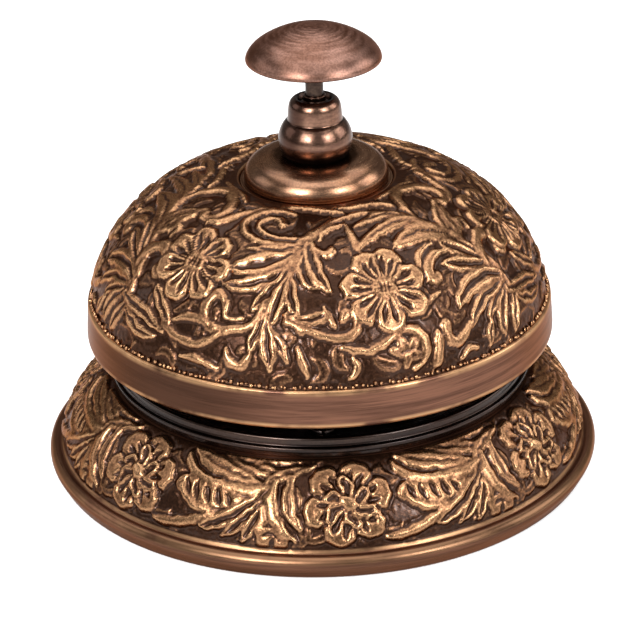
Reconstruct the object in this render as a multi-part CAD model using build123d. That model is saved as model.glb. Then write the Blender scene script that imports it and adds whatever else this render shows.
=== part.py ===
from build123d import *

import os
from math import cos, radians, sin, sqrt

# Counter service bell: a cast base, a dome on a hollow post, a push button and the striker it swings.
# Millimetres. +Z is up and is the axis of the bell. The origin is the middle of the felt's underside.
# The striker swings in the XZ plane, on the +X side of the post.

# Driving dimensions
base_radius = 55.0
overall_height = 90.3
button_travel = 4.4
striker_swing = 20.0  # degrees for the full travel
rod_radius = 1.75
running_gap = 0.05  # radial gap of a turning or sliding fit

# Base casting
rim_lift = 0.3  # the felt stands this much proud of the rim
rim_bead_radius = 1.6
rim_bead_center = (base_radius - rim_bead_radius, 3.3)
flange_foot = (52.2, 5.6)
flange_belly = (48.5, 13.5)
flange_top = (41.9, 19.2)
flange_lip_radius = 34.5
flange_lip_thickness = 3.0
felt_recess_radius = 51.0
plate_ledge_height = 2.2

# Collar and deck
collar_radius = 40.9
collar_top = 23.0
deck_radius = 39.3
deck_bottom = 20.8
deck_thickness = 1.6
deck_top = deck_bottom + deck_thickness
deck_screw_circle = 36.8
deck_screw_count = 3
deck_screw_radius = 1.5
deck_screw_angle = 30.0

# Bottom plate and felt
plate_thickness = 0.8
plate_radius = felt_recess_radius - 0.4
felt_radius = felt_recess_radius - 0.8
plate_bottom = plate_ledge_height - plate_thickness
foot_screw_circle = 43.5
foot_screw_count = 3
foot_screw_radius = 1.5
foot_boss_radius = 3.4
foot_boss_top = 12.5
foot_hole_radius = 4.2

# Dome
seat_height = 58.8
dome_wall = 2.6
shoulder_radius = 29.8
shoulder_center = (15.6, seat_height + 0.8 - shoulder_radius)
band_top = 35.2
band_bottom = 27.4
band_radius = 46.2
band_inner_radius = 43.2
shoulder_foot_radius = 44.9
inner_foot_radius = 42.2
seat_radius = 15.4
washer_thickness = 1.0

# Post
thread_radius = 4.0
post_radius = 6.0
post_flange_radius = 9.0
post_foot_radius = 8.0
post_top = 67.3
post_washer_thickness = 1.2
post_bottom = 12.6
post_flange_top = seat_height - dome_wall - washer_thickness
spring_seat = 58.0
spring_bore_radius = 2.9
window_half_width = 2.9

# Finial on top of the dome
ring_radius = 14.9
ring_thickness = 0.3
cap_radius = 14.1
cap_bottom = seat_height + ring_thickness
cap_top = 64.2
barrel_top = 75.8
barrel_floor = 74.4
barrel_radius = 7.1
tier_radius = 5.4
bush_radius = 2.6

# Striker, on a pivot beside the post
nose_arm = button_travel / (2 * sin(radians(striker_swing / 2)))
pivot_x = nose_arm * cos(radians(striker_swing / 2))
pivot_z = 47.0
nose_radius = 1.5
nose_z = pivot_z + button_travel / 2
pin_radius = 1.0
arm_width = 5.0
arm_thickness = 1.5
ear_half_width = arm_width / 2 + 1.75  # to the outer faces of the bracket's ears
bracket_bottom, bracket_top = 35.5, 42.0
set_screw_radius = 1.25
tab_x = 28.8
head_center_z = 29.3
head_radius = 3.9
head_back = tab_x + arm_thickness / 2
head_front = 36.3
tail_radius = 1.25

# Plunger
rod_bottom = nose_z + nose_radius + running_gap
clip_top = 72.95
clip_thickness = 0.6
clip_radius = 2.65
button_radius = 13.15
button_edge_height = 83.9
button_boss_bottom = 81.2
stud_radius = 1.5

# Return spring
spring_wire_radius = 0.25
spring_mean_radius = 2.42
spring_turns = 8.5
spring_washer_thickness = 0.5
spring_end_gap = 0.03  # keeps the ends of the wire off their seats
spring_top = clip_top - clip_thickness - spring_washer_thickness


def turned(*edges):
    """A solid of revolution about Z from edges in the XZ plane, closed along its own ends."""
    outline = Wire(list(edges))
    if not outline.is_closed:
        outline = Wire([*edges, Line(outline @ 1, outline @ 0)])
    return revolve(Face(outline), Axis.Z)


def at(r, z):
    return (r, 0, z)


def outline_of(points):
    """Straight edges through points given as (radius, height), closed."""
    corners = [at(r, z) for r, z in points]
    return [Line(a, b) for a, b in zip(corners, [*corners[1:], corners[0]])]


def quarter(start, end):
    """A smooth quarter turn, from running straight up at its start to running level at its end."""
    return Spline(at(*start), at(*end), tangents=[(0, 0, 1), (-1, 0, 0)])


def crown_arc(edge_radius, edge_z, top_z):
    """The arc of a shallow spherical crown, from its edge to its middle."""
    rise = top_z - edge_z
    ball = (edge_radius**2 + rise**2) / (2 * rise)
    half = edge_radius / 2
    return ThreePointArc(
        at(edge_radius, edge_z),
        at(half, top_z - ball + sqrt(ball**2 - half**2)),
        at(0, top_z),
    )


def tube(outer, inner, low, high):
    """A plain ring or disc on the Z axis. An inner radius of 0 gives a solid disc."""
    body = Pos(0, 0, low) * Cylinder(outer, high - low, align=(Align.CENTER, Align.CENTER, Align.MIN))
    if inner:
        body -= Pos(0, 0, low) * Cylinder(inner, high - low, align=(Align.CENTER, Align.CENTER, Align.MIN))
    return body


def around(count, radius, piece, first_angle=90.0):
    """Copies of a piece spaced evenly on a circle about the Z axis."""
    step = 360.0 / count
    return [Rot(0, 0, first_angle + i * step) * Pos(radius, 0, 0) * piece for i in range(count)]


def along_y(x, z, radius, half_length):
    """A cylinder parallel to Y, centred on the XZ plane."""
    return Pos(x, 0, z) * Rot(90, 0, 0) * Cylinder(radius, 2 * half_length)


def pan_screw(head_radius, head_height, shank_radius, shank_length):
    """A slotted pan-head screw with its head up and the head's underside at height 0."""
    head = tube(head_radius, 0, 0, head_height)
    head = fillet(head.edges().group_by(Axis.Z)[-1], head_height * 0.45)
    slot = Pos(0, 0, head_height) * Box(2.2 * head_radius, 0.22 * head_radius, head_height)
    return (head - slot) + tube(shank_radius, 0, -shank_length, 0)


def base_flange():
    """The cast skirt: a beaded rim, a groove, a bellied face, and a lip that carries the collar."""
    bead_r, bead_z = rim_bead_center
    half = rim_bead_radius * sqrt(0.5)
    foot_r, foot_z = flange_foot
    top_r, top_z = flange_top
    lip_under = top_z - flange_lip_thickness
    skin = [
        Line(at(53.6, rim_lift), at(bead_r + half, bead_z - half)),
        ThreePointArc(
            at(bead_r + half, bead_z - half),
            at(base_radius, bead_z),
            at(bead_r, bead_z + rim_bead_radius),
        ),
        Line(at(bead_r, bead_z + rim_bead_radius), at(foot_r + 0.6, foot_z - 1.0)),
        Line(at(foot_r + 0.6, foot_z - 1.0), at(foot_r, foot_z)),
        ThreePointArc(at(foot_r, foot_z), at(*flange_belly), at(top_r, top_z)),
        Line(at(top_r, top_z), at(flange_lip_radius, top_z)),
        Line(at(flange_lip_radius, top_z), at(flange_lip_radius, lip_under)),
        Line(at(flange_lip_radius, lip_under), at(top_r - 2.4, lip_under)),
        ThreePointArc(at(top_r - 2.4, lip_under), at(45.7, 11.6), at(49.0, plate_ledge_height)),
        Line(at(49.0, plate_ledge_height), at(felt_recess_radius, plate_ledge_height)),
        Line(at(felt_recess_radius, plate_ledge_height), at(felt_recess_radius, rim_lift)),
        Line(at(felt_recess_radius, rim_lift), at(53.6, rim_lift)),
    ]
    body = turned(*skin)
    boss = tube(foot_boss_radius, 0, plate_ledge_height, foot_boss_top)
    for copy in around(foot_screw_count, foot_screw_circle, boss):
        body += copy
    pilot = tube(foot_screw_radius, 0, plate_ledge_height, foot_boss_top - 1.5)
    for copy in around(foot_screw_count, foot_screw_circle, pilot):
        body -= copy
    tapped = tube(deck_screw_radius, 0, lip_under - 1, top_z + 1)
    for copy in around(deck_screw_count, deck_screw_circle, tapped, deck_screw_angle):
        body -= copy
    return body


def base_collar():
    """The dark turned ring between the skirt and the dome. Its step carries the deck."""
    low = flange_top[1]
    bead_height, bead_radius = 1.0, 0.5
    step_radius = collar_radius + 0.4
    skin = [
        Line(at(flange_lip_radius, low), at(step_radius, low)),
        Line(at(step_radius, low), at(step_radius, low + bead_height)),
        ThreePointArc(
            at(step_radius, low + bead_height),
            at(step_radius + bead_radius, low + bead_height + bead_radius),
            at(step_radius, low + bead_height + 2 * bead_radius),
        ),
        Line(at(step_radius, low + bead_height + 2 * bead_radius), at(collar_radius, low + 2.3)),
        Line(at(collar_radius, low + 2.3), at(collar_radius, collar_top - 0.6)),
        ThreePointArc(
            at(collar_radius, collar_top - 0.6),
            at(collar_radius - 0.18, collar_top - 0.18),
            at(collar_radius - 0.6, collar_top),
        ),
        Line(at(collar_radius - 0.6, collar_top), at(deck_radius + 0.1, collar_top)),
        Line(at(deck_radius + 0.1, collar_top), at(deck_radius + 0.1, deck_bottom)),
        Line(at(deck_radius + 0.1, deck_bottom), at(flange_lip_radius, deck_bottom)),
        Line(at(flange_lip_radius, deck_bottom), at(flange_lip_radius, low)),
    ]
    body = turned(*skin)
    hole = tube(deck_screw_radius + 0.1, 0, low - 1, deck_bottom + 1)
    for copy in around(deck_screw_count, deck_screw_circle, hole, deck_screw_angle):
        body -= copy
    return body


def deck_plate():
    """The steel disc that closes the base and carries the post."""
    body = tube(deck_radius, thread_radius, deck_bottom, deck_top)
    hole = tube(deck_screw_radius + 0.1, 0, deck_bottom - 1, deck_top + 1)
    for copy in around(deck_screw_count, deck_screw_circle, hole, deck_screw_angle):
        body -= copy
    return body


def deck_screws():
    length = deck_top - (flange_top[1] - flange_lip_thickness)
    screw = Pos(0, 0, deck_top) * pan_screw(2.45, 1.5, deck_screw_radius, length)
    return Compound(around(deck_screw_count, deck_screw_circle, screw, deck_screw_angle))


def bottom_plate():
    """Thin steel disc that closes the underside, above the felt."""
    body = tube(plate_radius, 0, plate_bottom, plate_ledge_height)
    hole = tube(foot_screw_radius + 0.1, 0, plate_bottom - 1, plate_ledge_height + 1)
    for copy in around(foot_screw_count, foot_screw_circle, hole):
        body -= copy
    return body


def foot_screws():
    """Screws that hold the bottom plate, heads down, inside the holes of the felt."""
    length = foot_boss_top - 3.0 - plate_bottom
    screw = Pos(0, 0, plate_bottom) * Rot(180, 0, 0) * pan_screw(2.7, 1.1, foot_screw_radius, length)
    return Compound(around(foot_screw_count, foot_screw_circle, screw))


def felt_pad():
    body = tube(felt_radius, 0, 0, plate_bottom)
    hole = tube(foot_hole_radius, 0, -1, plate_bottom + 1)
    for copy in around(foot_screw_count, foot_screw_circle, hole):
        body -= copy
    return body


def center_post():
    """Hollow post: threaded foot, window for the striker's nose, flange for the dome, threaded top."""
    skin = outline_of(
        [
            (0, post_bottom),
            (thread_radius, post_bottom),
            (thread_radius, deck_top),
            (post_foot_radius, deck_top),
            (post_foot_radius, deck_top + 2.0),
            (post_radius, deck_top + 4.0),
            (post_radius, post_flange_top - 4.0),
            (post_flange_radius, post_flange_top - 1.8),
            (post_flange_radius, post_flange_top),
            (thread_radius, post_flange_top),
            (thread_radius, post_top - 0.4),
            (thread_radius - 0.4, post_top),
            (0, post_top),
        ]
    )
    body = turned(*skin)
    body -= tube(rod_radius + running_gap, 0, nose_z, post_top + 1)
    body -= tube(spring_bore_radius, 0, spring_seat, post_top + 1)
    window_low = nose_z - button_travel - nose_radius - 0.5
    window_high = nose_z + nose_radius + 1.0
    window = Box(
        post_radius + 4.0,
        2 * window_half_width,
        window_high - window_low,
        align=(Align.MIN, Align.CENTER, Align.MIN),
    )
    body -= Pos(-2.6, 0, window_low) * window
    return body


def post_nut():
    low, high = 13.8, deck_bottom - post_washer_thickness
    blank = Pos(0, 0, low) * extrude(RegularPolygon(7.5, 6), high - low)
    chamfered = blank & turned(*outline_of([(0, low), (6.6, low), (7.5, low + 0.6), (7.5, high), (0, high)]))
    return chamfered - tube(thread_radius, 0, low - 1, high + 1)


def post_washer():
    return tube(8.5, thread_radius, deck_bottom - post_washer_thickness, deck_bottom)


def bell_dome():
    """The bell: a plain band at the mouth, a round shoulder, and a shallow seat for the finial."""
    cx, cz = shoulder_center
    inner = shoulder_radius - dome_wall
    shoulder_foot = cz + sqrt(shoulder_radius**2 - (shoulder_foot_radius - cx) ** 2)
    inner_foot = cz + sqrt(inner**2 - (inner_foot_radius - cx) ** 2)
    crown = cz + shoulder_radius
    under_seat = seat_height - dome_wall
    diagonal = sqrt(0.5)
    skin = [
        Line(at(band_inner_radius, band_bottom), at(band_radius - 0.9, band_bottom)),
        ThreePointArc(
            at(band_radius - 0.9, band_bottom),
            at(band_radius - 0.26, band_bottom + 0.26),
            at(band_radius, band_bottom + 0.9),
        ),
        Line(at(band_radius, band_bottom + 0.9), at(band_radius - 0.35, band_top - 0.5)),
        Line(at(band_radius - 0.35, band_top - 0.5), at(band_radius - 0.8, band_top)),
        Line(at(band_radius - 0.8, band_top), at(shoulder_foot_radius, shoulder_foot)),
        ThreePointArc(
            at(shoulder_foot_radius, shoulder_foot),
            at(cx + shoulder_radius * diagonal, cz + shoulder_radius * diagonal),
            at(cx, crown),
        ),
        Line(at(cx, crown), at(seat_radius, seat_height)),
        Line(at(seat_radius, seat_height), at(thread_radius + 0.1, seat_height)),
        Line(at(thread_radius + 0.1, seat_height), at(thread_radius + 0.1, under_seat)),
        Line(at(thread_radius + 0.1, under_seat), at(13.0, under_seat)),
        Line(at(13.0, under_seat), at(cx, cz + inner)),
        ThreePointArc(
            at(cx, cz + inner),
            at(cx + inner * diagonal, cz + inner * diagonal),
            at(inner_foot_radius, inner_foot),
        ),
        Line(at(inner_foot_radius, inner_foot), at(band_inner_radius, band_top - 2.0)),
        Line(at(band_inner_radius, band_top - 2.0), at(band_inner_radius, band_bottom)),
    ]
    return turned(*skin)


def seat_washer():
    """Fibre washer under the crown, which lets the dome ring."""
    return tube(post_flange_radius, thread_radius + 0.1, post_flange_top, post_flange_top + washer_thickness)


def cap_ring():
    body = tube(ring_radius, thread_radius + 0.1, seat_height, cap_bottom)
    return fillet(body.edges().filter_by(GeomType.CIRCLE).sort_by(SortBy.RADIUS)[-2:], 0.1)


def cap():
    """The flared cap that covers the middle of the dome."""
    top_radius = 7.6
    waist_z = cap_bottom + 0.5
    skin = [
        Line(at(thread_radius + 0.1, cap_bottom), at(cap_radius - 0.3, cap_bottom)),
        Line(at(cap_radius - 0.3, cap_bottom), at(cap_radius, waist_z)),
        quarter((cap_radius, waist_z), (top_radius, cap_top)),
        Line(at(top_radius, cap_top), at(thread_radius + 0.1, cap_top)),
        Line(at(thread_radius + 0.1, cap_top), at(thread_radius + 0.1, cap_bottom)),
    ]
    return turned(*skin)


def barrel_nut():
    """The two-tier turned nut that holds the dome down and guides the rod."""
    chamber_radius = spring_bore_radius + 0.1
    skin = [
        Line(at(thread_radius, cap_top), at(6.5, cap_top)),
        ThreePointArc(at(6.5, cap_top), at(7.0, 65.3), at(barrel_radius, 66.8)),
        Line(at(barrel_radius, 66.8), at(barrel_radius, 68.2)),
        quarter((barrel_radius, 68.2), (5.9, 71.1)),
        Line(at(5.9, 71.1), at(tier_radius, 71.3)),
        Line(at(tier_radius, 71.3), at(5.15, 74.3)),
        ThreePointArc(at(5.15, 74.3), at(4.85, 75.35), at(4.15, barrel_top)),
        Line(at(4.15, barrel_top), at(3.4, barrel_top)),
        Line(at(3.4, barrel_top), at(3.3, barrel_floor)),
        Line(at(3.3, barrel_floor), at(bush_radius, barrel_floor)),
        Line(at(bush_radius, barrel_floor), at(bush_radius, clip_top + running_gap)),
        Line(at(bush_radius, clip_top + running_gap), at(chamber_radius, clip_top + running_gap)),
        Line(at(chamber_radius, clip_top + running_gap), at(chamber_radius, post_top)),
        Line(at(chamber_radius, post_top), at(thread_radius, post_top)),
        Line(at(thread_radius, post_top), at(thread_radius, cap_top)),
    ]
    return turned(*skin)


def guide_bush():
    """Flanged bush pressed into the top of the barrel nut. The rod slides in it."""
    skin = outline_of(
        [
            (rod_radius + running_gap, clip_top + running_gap),
            (bush_radius, clip_top + running_gap),
            (bush_radius, barrel_floor),
            (3.1, barrel_floor),
            (3.1, barrel_floor + 0.6),
            (2.2, barrel_floor + 0.9),
            (2.2, barrel_floor + 2.0),
            (rod_radius + running_gap, barrel_floor + 2.0),
        ]
    )
    return turned(*skin)


def pivot_bracket():
    """Collar on the post with two ears that hold the striker's pin."""
    low, high = bracket_bottom, bracket_top
    ear_inner = arm_width / 2 + 0.35
    ear_radius = 3.0
    ring = tube(post_radius + 2.6, 0, low, high)
    ear = Polyline(
        at(0.5, low + 1.0),
        at(post_radius + 1.5, low + 1.0),
        at(pivot_x + ear_radius, pivot_z - 1.0),
        at(pivot_x + ear_radius, pivot_z),
        at(pivot_x - ear_radius, pivot_z),
        at(post_radius + 0.6, high),
        at(0.5, high),
        close=True,
    )
    plate = extrude(Face(Wire(ear.edges())), amount=ear_half_width, both=True)
    plate += along_y(pivot_x, pivot_z, ear_radius, ear_half_width)
    gap = Box(40, 2 * ear_inner, 40, align=(Align.MIN, Align.CENTER, Align.MIN))
    body = ring + plate - Pos(post_radius + 1.2, 0, low - 1) * gap
    body -= Pos(0, 0, high) * gap
    body -= tube(post_radius, 0, low - 1, pivot_z + 10)
    body -= along_y(pivot_x, pivot_z, pin_radius, ear_half_width + 1)
    side_hole = Pos(0, 0, (low + high) / 2) * Rot(0, -90, 0) * Cylinder(
        set_screw_radius, 20, align=(Align.CENTER, Align.CENTER, Align.MIN)
    )
    return body - side_hole


def bracket_screw():
    """Headless slotted screw that locks the bracket's collar to the post."""
    middle = (bracket_bottom + bracket_top) / 2
    body = Cylinder(set_screw_radius, 2.6, align=(Align.CENTER, Align.CENTER, Align.MIN))
    body -= Pos(0, 0, 2.6) * Box(3, 0.5, 1.2)
    return Pos(-post_radius, 0, middle) * Rot(0, -90, 0) * body


def pivot_pin():
    """Headed pin through the bracket's ears. The striker turns on it."""
    length = 2 * ear_half_width + 1.4
    body = Cylinder(pin_radius, length, align=(Align.CENTER, Align.CENTER, Align.MIN))
    body += Pos(0, 0, -0.8) * Cylinder(1.8, 0.8, align=(Align.CENTER, Align.CENTER, Align.MIN))
    return Pos(pivot_x, -ear_half_width, pivot_z) * Rot(-90, 0, 0) * body


def pin_clip():
    body = tube(1.9, pin_radius, 0, 0.6) - Pos(1.6, 0, 0.3) * Box(2.4, 1.1, 1)
    return Pos(pivot_x, ear_half_width + 0.1, pivot_z) * Rot(-90, 0, 0) * body


def striker_arm():
    """Bent strip: a nose under the rod, a hub on the pin, and a leg down to the striker's head."""
    nose_x = pivot_x - nose_arm * cos(radians(striker_swing / 2))
    tab_top = head_center_z + 3.6
    leg = FilletPolyline(
        at(nose_x, nose_z),
        at(pivot_x, pivot_z),
        at(tab_x, tab_top + 1.2),
        at(tab_x, head_center_z - 2.8),
        radius=2.0,
    )
    strip = Plane.XZ * trace(Plane.XZ.to_local_coords(leg), arm_thickness)
    body = extrude(strip, amount=arm_width / 2, both=True)
    body += along_y(nose_x, nose_z, nose_radius, arm_width / 2)
    body += along_y(pivot_x, pivot_z, 2.6, arm_width / 2)
    body -= along_y(pivot_x, pivot_z, pin_radius + running_gap, arm_width)
    rivet_hole = Pos(tab_x, 0, head_center_z) * Rot(0, 90, 0) * Cylinder(tail_radius, 6)
    return body - rivet_hole


def striker_head():
    """Turned brass striker with a domed face and a tail riveted through the arm's tab."""
    length = head_front - head_back
    tail = arm_thickness
    face_radius, face_rise = head_radius - 0.4, 2.0
    skin = [
        Line(at(0, -tail), at(tail_radius, -tail)),
        Line(at(tail_radius, -tail), at(tail_radius, 0)),
        Line(at(tail_radius, 0), at(head_radius - 0.4, 0)),
        Line(at(head_radius - 0.4, 0), at(head_radius, 0.4)),
        Line(at(head_radius, 0.4), at(head_radius, length - face_rise - 0.5)),
        Line(at(head_radius, length - face_rise - 0.5), at(face_radius, length - face_rise)),
        crown_arc(face_radius, length - face_rise, length),
        Line(at(0, length), at(0, -tail)),
    ]
    return Pos(head_back, 0, head_center_z) * Rot(0, 90, 0) * turned(*skin)


def striker_rivet():
    """The upset end of the striker's tail, behind the tab."""
    body = tube(2.3, 0, 0, 1.0)
    body = fillet(body.edges().group_by(Axis.Z)[-1], 0.8)
    return Pos(tab_x - arm_thickness / 2, 0, head_center_z) * Rot(0, -90, 0) * body


def plunger_rod():
    """The rod from the button down to the striker's nose, with a groove for the clip."""
    groove_low = clip_top - clip_thickness
    skin = outline_of(
        [
            (0, rod_bottom),
            (rod_radius - 0.3, rod_bottom),
            (rod_radius, rod_bottom + 0.3),
            (rod_radius, groove_low),
            (stud_radius, groove_low),
            (stud_radius, clip_top),
            (rod_radius, clip_top),
            (rod_radius, button_boss_bottom),
            (stud_radius, button_boss_bottom),
            (stud_radius, button_boss_bottom + 5.0),
            (0, button_boss_bottom + 5.0),
        ]
    )
    return turned(*skin)


def rod_clip():
    """Open clip in the rod's groove. It stops the rod's upward travel and carries the spring."""
    body = tube(clip_radius, stud_radius, clip_top - clip_thickness, clip_top)
    return body - Pos(2.0, 0, clip_top - clip_thickness / 2) * Box(3.0, 1.6, 2 * clip_thickness)


def spring_washer():
    low = clip_top - clip_thickness - spring_washer_thickness
    return tube(clip_radius + 0.1, rod_radius + 0.02, low, low + spring_washer_thickness)


def return_spring():
    """Compression spring between the post's counterbore and the clip's washer."""
    end_space = spring_wire_radius + spring_end_gap
    height = spring_top - spring_seat - 2 * end_space
    pitch = height / spring_turns
    path = Helix(pitch, height, spring_mean_radius)
    start = Plane(origin=path @ 0, z_dir=path % 0)
    wire = sweep(start * Circle(spring_wire_radius), path=path, is_frenet=True)
    return Pos(0, 0, spring_seat + end_space) * wire


def button():
    """Domed push button: a spun shell on a boss that screws onto the rod."""
    edge = button_edge_height
    boss_radius = 3.2
    skin = [
        Line(at(button_radius - 1.1, edge - 0.4), at(button_radius - 0.3, edge - 0.4)),
        ThreePointArc(
            at(button_radius - 0.3, edge - 0.4),
            at(button_radius, edge),
            at(button_radius - 0.15, edge + 0.6),
        ),
        ThreePointArc(at(button_radius - 0.15, edge + 0.6), at(12.0, 86.0), at(10.6, 87.1)),
        crown_arc(10.6, 87.1, overall_height),
        Line(at(0, overall_height), at(0, button_boss_bottom)),
        Line(at(0, button_boss_bottom), at(boss_radius, button_boss_bottom)),
        Line(at(boss_radius, button_boss_bottom), at(boss_radius, 87.6)),
        Line(at(boss_radius, 87.6), at(boss_radius + 0.8, 88.4)),
        ThreePointArc(at(boss_radius + 0.8, 88.4), at(7.8, 87.2), at(10.3, 85.7)),
        ThreePointArc(at(10.3, 85.7), at(11.4, 84.7), at(button_radius - 1.1, edge - 0.4)),
    ]
    socket = tube(stud_radius, 0, button_boss_bottom - 1, button_boss_bottom + 5.0)
    return turned(*skin) - socket


sub_parts = {
    "base_flange": base_flange,
    "base_collar": base_collar,
    "deck_plate": deck_plate,
    "deck_screws": deck_screws,
    "bottom_plate": bottom_plate,
    "foot_screws": foot_screws,
    "felt_pad": felt_pad,
    "center_post": center_post,
    "post_nut": post_nut,
    "post_washer": post_washer,
    "bell_dome": bell_dome,
    "seat_washer": seat_washer,
    "cap_ring": cap_ring,
    "cap": cap,
    "barrel_nut": barrel_nut,
    "guide_bush": guide_bush,
    "pivot_bracket": pivot_bracket,
    "bracket_screw": bracket_screw,
    "pivot_pin": pivot_pin,
    "pin_clip": pin_clip,
    "striker_arm": striker_arm,
    "striker_head": striker_head,
    "striker_rivet": striker_rivet,
    "plunger_rod": plunger_rod,
    "rod_clip": rod_clip,
    "spring_washer": spring_washer,
    "return_spring": return_spring,
    "button": button,
}

os.makedirs("parts", exist_ok=True)
for name, make in sub_parts.items():
    export_step(make(), f"parts/{name}.step")
print("wrote", len(sub_parts), "parts; pivot at x", round(pivot_x, 3), "z", pivot_z)
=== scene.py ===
import math

import bmesh
import bpy
import numpy as np
from mathutils import Matrix, Vector


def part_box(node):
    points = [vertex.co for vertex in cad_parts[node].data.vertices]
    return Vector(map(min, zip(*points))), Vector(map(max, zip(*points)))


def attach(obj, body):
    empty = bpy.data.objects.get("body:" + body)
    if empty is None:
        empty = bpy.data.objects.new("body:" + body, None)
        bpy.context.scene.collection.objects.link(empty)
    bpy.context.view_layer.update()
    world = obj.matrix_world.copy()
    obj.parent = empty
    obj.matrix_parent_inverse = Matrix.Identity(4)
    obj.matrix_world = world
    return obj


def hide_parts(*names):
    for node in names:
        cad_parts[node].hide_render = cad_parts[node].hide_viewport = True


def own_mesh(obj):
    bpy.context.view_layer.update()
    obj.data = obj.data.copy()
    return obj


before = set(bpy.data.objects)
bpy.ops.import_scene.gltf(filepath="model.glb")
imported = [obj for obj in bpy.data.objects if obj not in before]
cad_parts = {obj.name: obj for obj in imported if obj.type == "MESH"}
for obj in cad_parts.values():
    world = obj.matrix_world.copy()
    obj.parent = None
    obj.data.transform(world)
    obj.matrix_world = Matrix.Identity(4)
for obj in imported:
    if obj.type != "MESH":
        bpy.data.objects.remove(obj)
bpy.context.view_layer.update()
print("frame loaded:", len(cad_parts), "nodes")

# Sizes are in millimetres, unless a note says metres. objectFrom() turns a mesh into metres.
mm = 0.001
fullTurn = 2 * math.pi
goldenShare = 0.618034
postHole = 4.1  # radius of the hole that the dome, the cap and its ring have for the post


def reach(node):
    # outer radius, lowest and highest point of a round CAD node, in millimetres
    low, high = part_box(node)
    return high.x / mm, low.z / mm, high.z / mm


def smoothStep(low, high, x):
    t = np.clip((x - low) / (high - low), 0, 1)
    return t * t * (3 - 2 * t)


def rounded(corners, steps=4, guard=0.06):
    # a closed outline of (radius, height, fillet) corners, as plain points: each fillet is an arc,
    # and a guard point just outside it keeps the flats shaded flat
    out = []
    count = len(corners)
    for i, (r, z, size) in enumerate(corners):
        here = np.array([r, z], float)
        before = np.array(corners[i - 1][:2], float) - here
        after = np.array(corners[(i + 1) % count][:2], float) - here
        if size <= 0:
            out.append(here)
            continue
        lengthA, lengthB = np.linalg.norm(before), np.linalg.norm(after)
        before, after = before / lengthA, after / lengthB
        corner = math.acos(np.clip(before @ after, -1, 1))
        if corner > math.pi - 0.02:
            out.append(here)
            continue
        back = min(size / math.tan(corner / 2), 0.48 * lengthA, 0.48 * lengthB)
        radius = back * math.tan(corner / 2)
        middle = before + after
        centre = here + middle / np.linalg.norm(middle) * radius / math.sin(corner / 2)
        start, end = here + before * back, here + after * back
        room = min(guard, 0.3 * back + 0.01)
        out.append(start + before * room)
        for k in range(steps + 1):
            p = start + (end - start) * k / steps - centre
            out.append(centre + p / np.linalg.norm(p) * radius)
        out.append(end + after * room)
    return [tuple(p) for p in out]


def arcPoints(centre, radius, first, last, steps):
    # points on an arc in the (radius, height) plane, angles in degrees
    angles = np.radians(np.linspace(first, last, steps + 1))
    return [(centre[0] + radius * math.cos(a), centre[1] + radius * math.sin(a)) for a in angles]


def objectFrom(name, points, faces, smooth=True):
    mesh = bpy.data.meshes.new(name)
    mesh.from_pydata([tuple(p) for p in np.asarray(points) * mm], [], faces)
    mesh.validate()
    if smooth:
        mesh.shade_smooth()
    piece = bpy.data.objects.new(name, mesh)
    bpy.context.scene.collection.objects.link(piece)
    return piece


def turnOutwards(piece):
    # doubles merged, then every face turned to the outside
    work = bmesh.new()
    work.from_mesh(piece.data)
    bmesh.ops.remove_doubles(work, verts=work.verts, dist=1e-7)
    bmesh.ops.recalc_face_normals(work, faces=work.faces)
    work.to_mesh(piece.data)
    work.free()
    return piece


def takeOver(piece, body, node):
    # the piece moves with a body, and stands where a CAD node stood
    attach(piece, body)
    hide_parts(node)
    print(piece.name + ":", len(piece.data.polygons), "faces")


def lathe(name, outline, around=192):
    # a closed outline of (radius, height) points turned about the Z axis
    angles = np.arange(around) * fullTurn / around
    points, rings = [], []
    for r, z in outline:
        if r < 1e-6:
            rings.append([len(points)] * around)
            points.append((0, 0, z))
        else:
            rings.append(list(range(len(points), len(points) + around)))
            points += [(r * math.cos(a), r * math.sin(a), z) for a in angles]
    faces = []
    for a, b in zip(rings, rings[1:] + rings[:1]):
        if a[0] == a[1] and b[0] == b[1]:
            continue
        for i in range(around):
            j = (i + 1) % around
            corners = [a[i], a[j], b[j], b[i]]
            faces.append(list(dict.fromkeys(corners)))
    return turnOutwards(objectFrom(name, points, faces))


# Relief: shapes painted as heights on a strip of the surface. A strip is one repeat of the pattern.
# Its points have a turn in degrees, 0 at the front and growing to the right, and a climb along the surface.


def makeStrip(period, rowClimbs, rowCounts, radiusAt, first):
    turn, climb, rows = [], [], []
    for c, n in zip(rowClimbs, rowCounts):
        rows.append((len(turn), n))
        turn += list(first + period * np.arange(n + 1) / n)
        climb += [c] * (n + 1)
    turn, climb = np.array(turn), np.array(climb)
    return {
        "turn": turn, "climb": climb, "rows": rows, "period": period,
        "perDegree": np.radians(1) * radiusAt(climb), "radiusAt": radiusAt,
        "height": np.zeros(len(turn)), "warpX": np.zeros(len(turn)), "warpY": np.zeros(len(turn)),
    }


def ripple(strip, size, seed, waves=48):
    # smooth random waves of about that size in millimetres, the same at both ends of the strip
    rng = np.random.default_rng(seed)
    width = strip["period"] * np.radians(1) * strip["radiusAt"](np.array([np.median(strip["climb"])]))[0]
    total = np.zeros(len(strip["turn"]))
    for _ in range(waves):
        angle, length = rng.uniform(0, fullTurn), size * rng.uniform(0.7, 1.6)
        turns = round(width / length * math.cos(angle))
        phase = rng.uniform(0, fullTurn)
        along = turns * strip["turn"] / strip["period"] + strip["climb"] / length * math.sin(angle)
        total += np.sin(fullTurn * along + phase)
    return total / math.sqrt(waves / 2)


fullness = 1.4  # how much wider every painted line is than its given width


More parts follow.
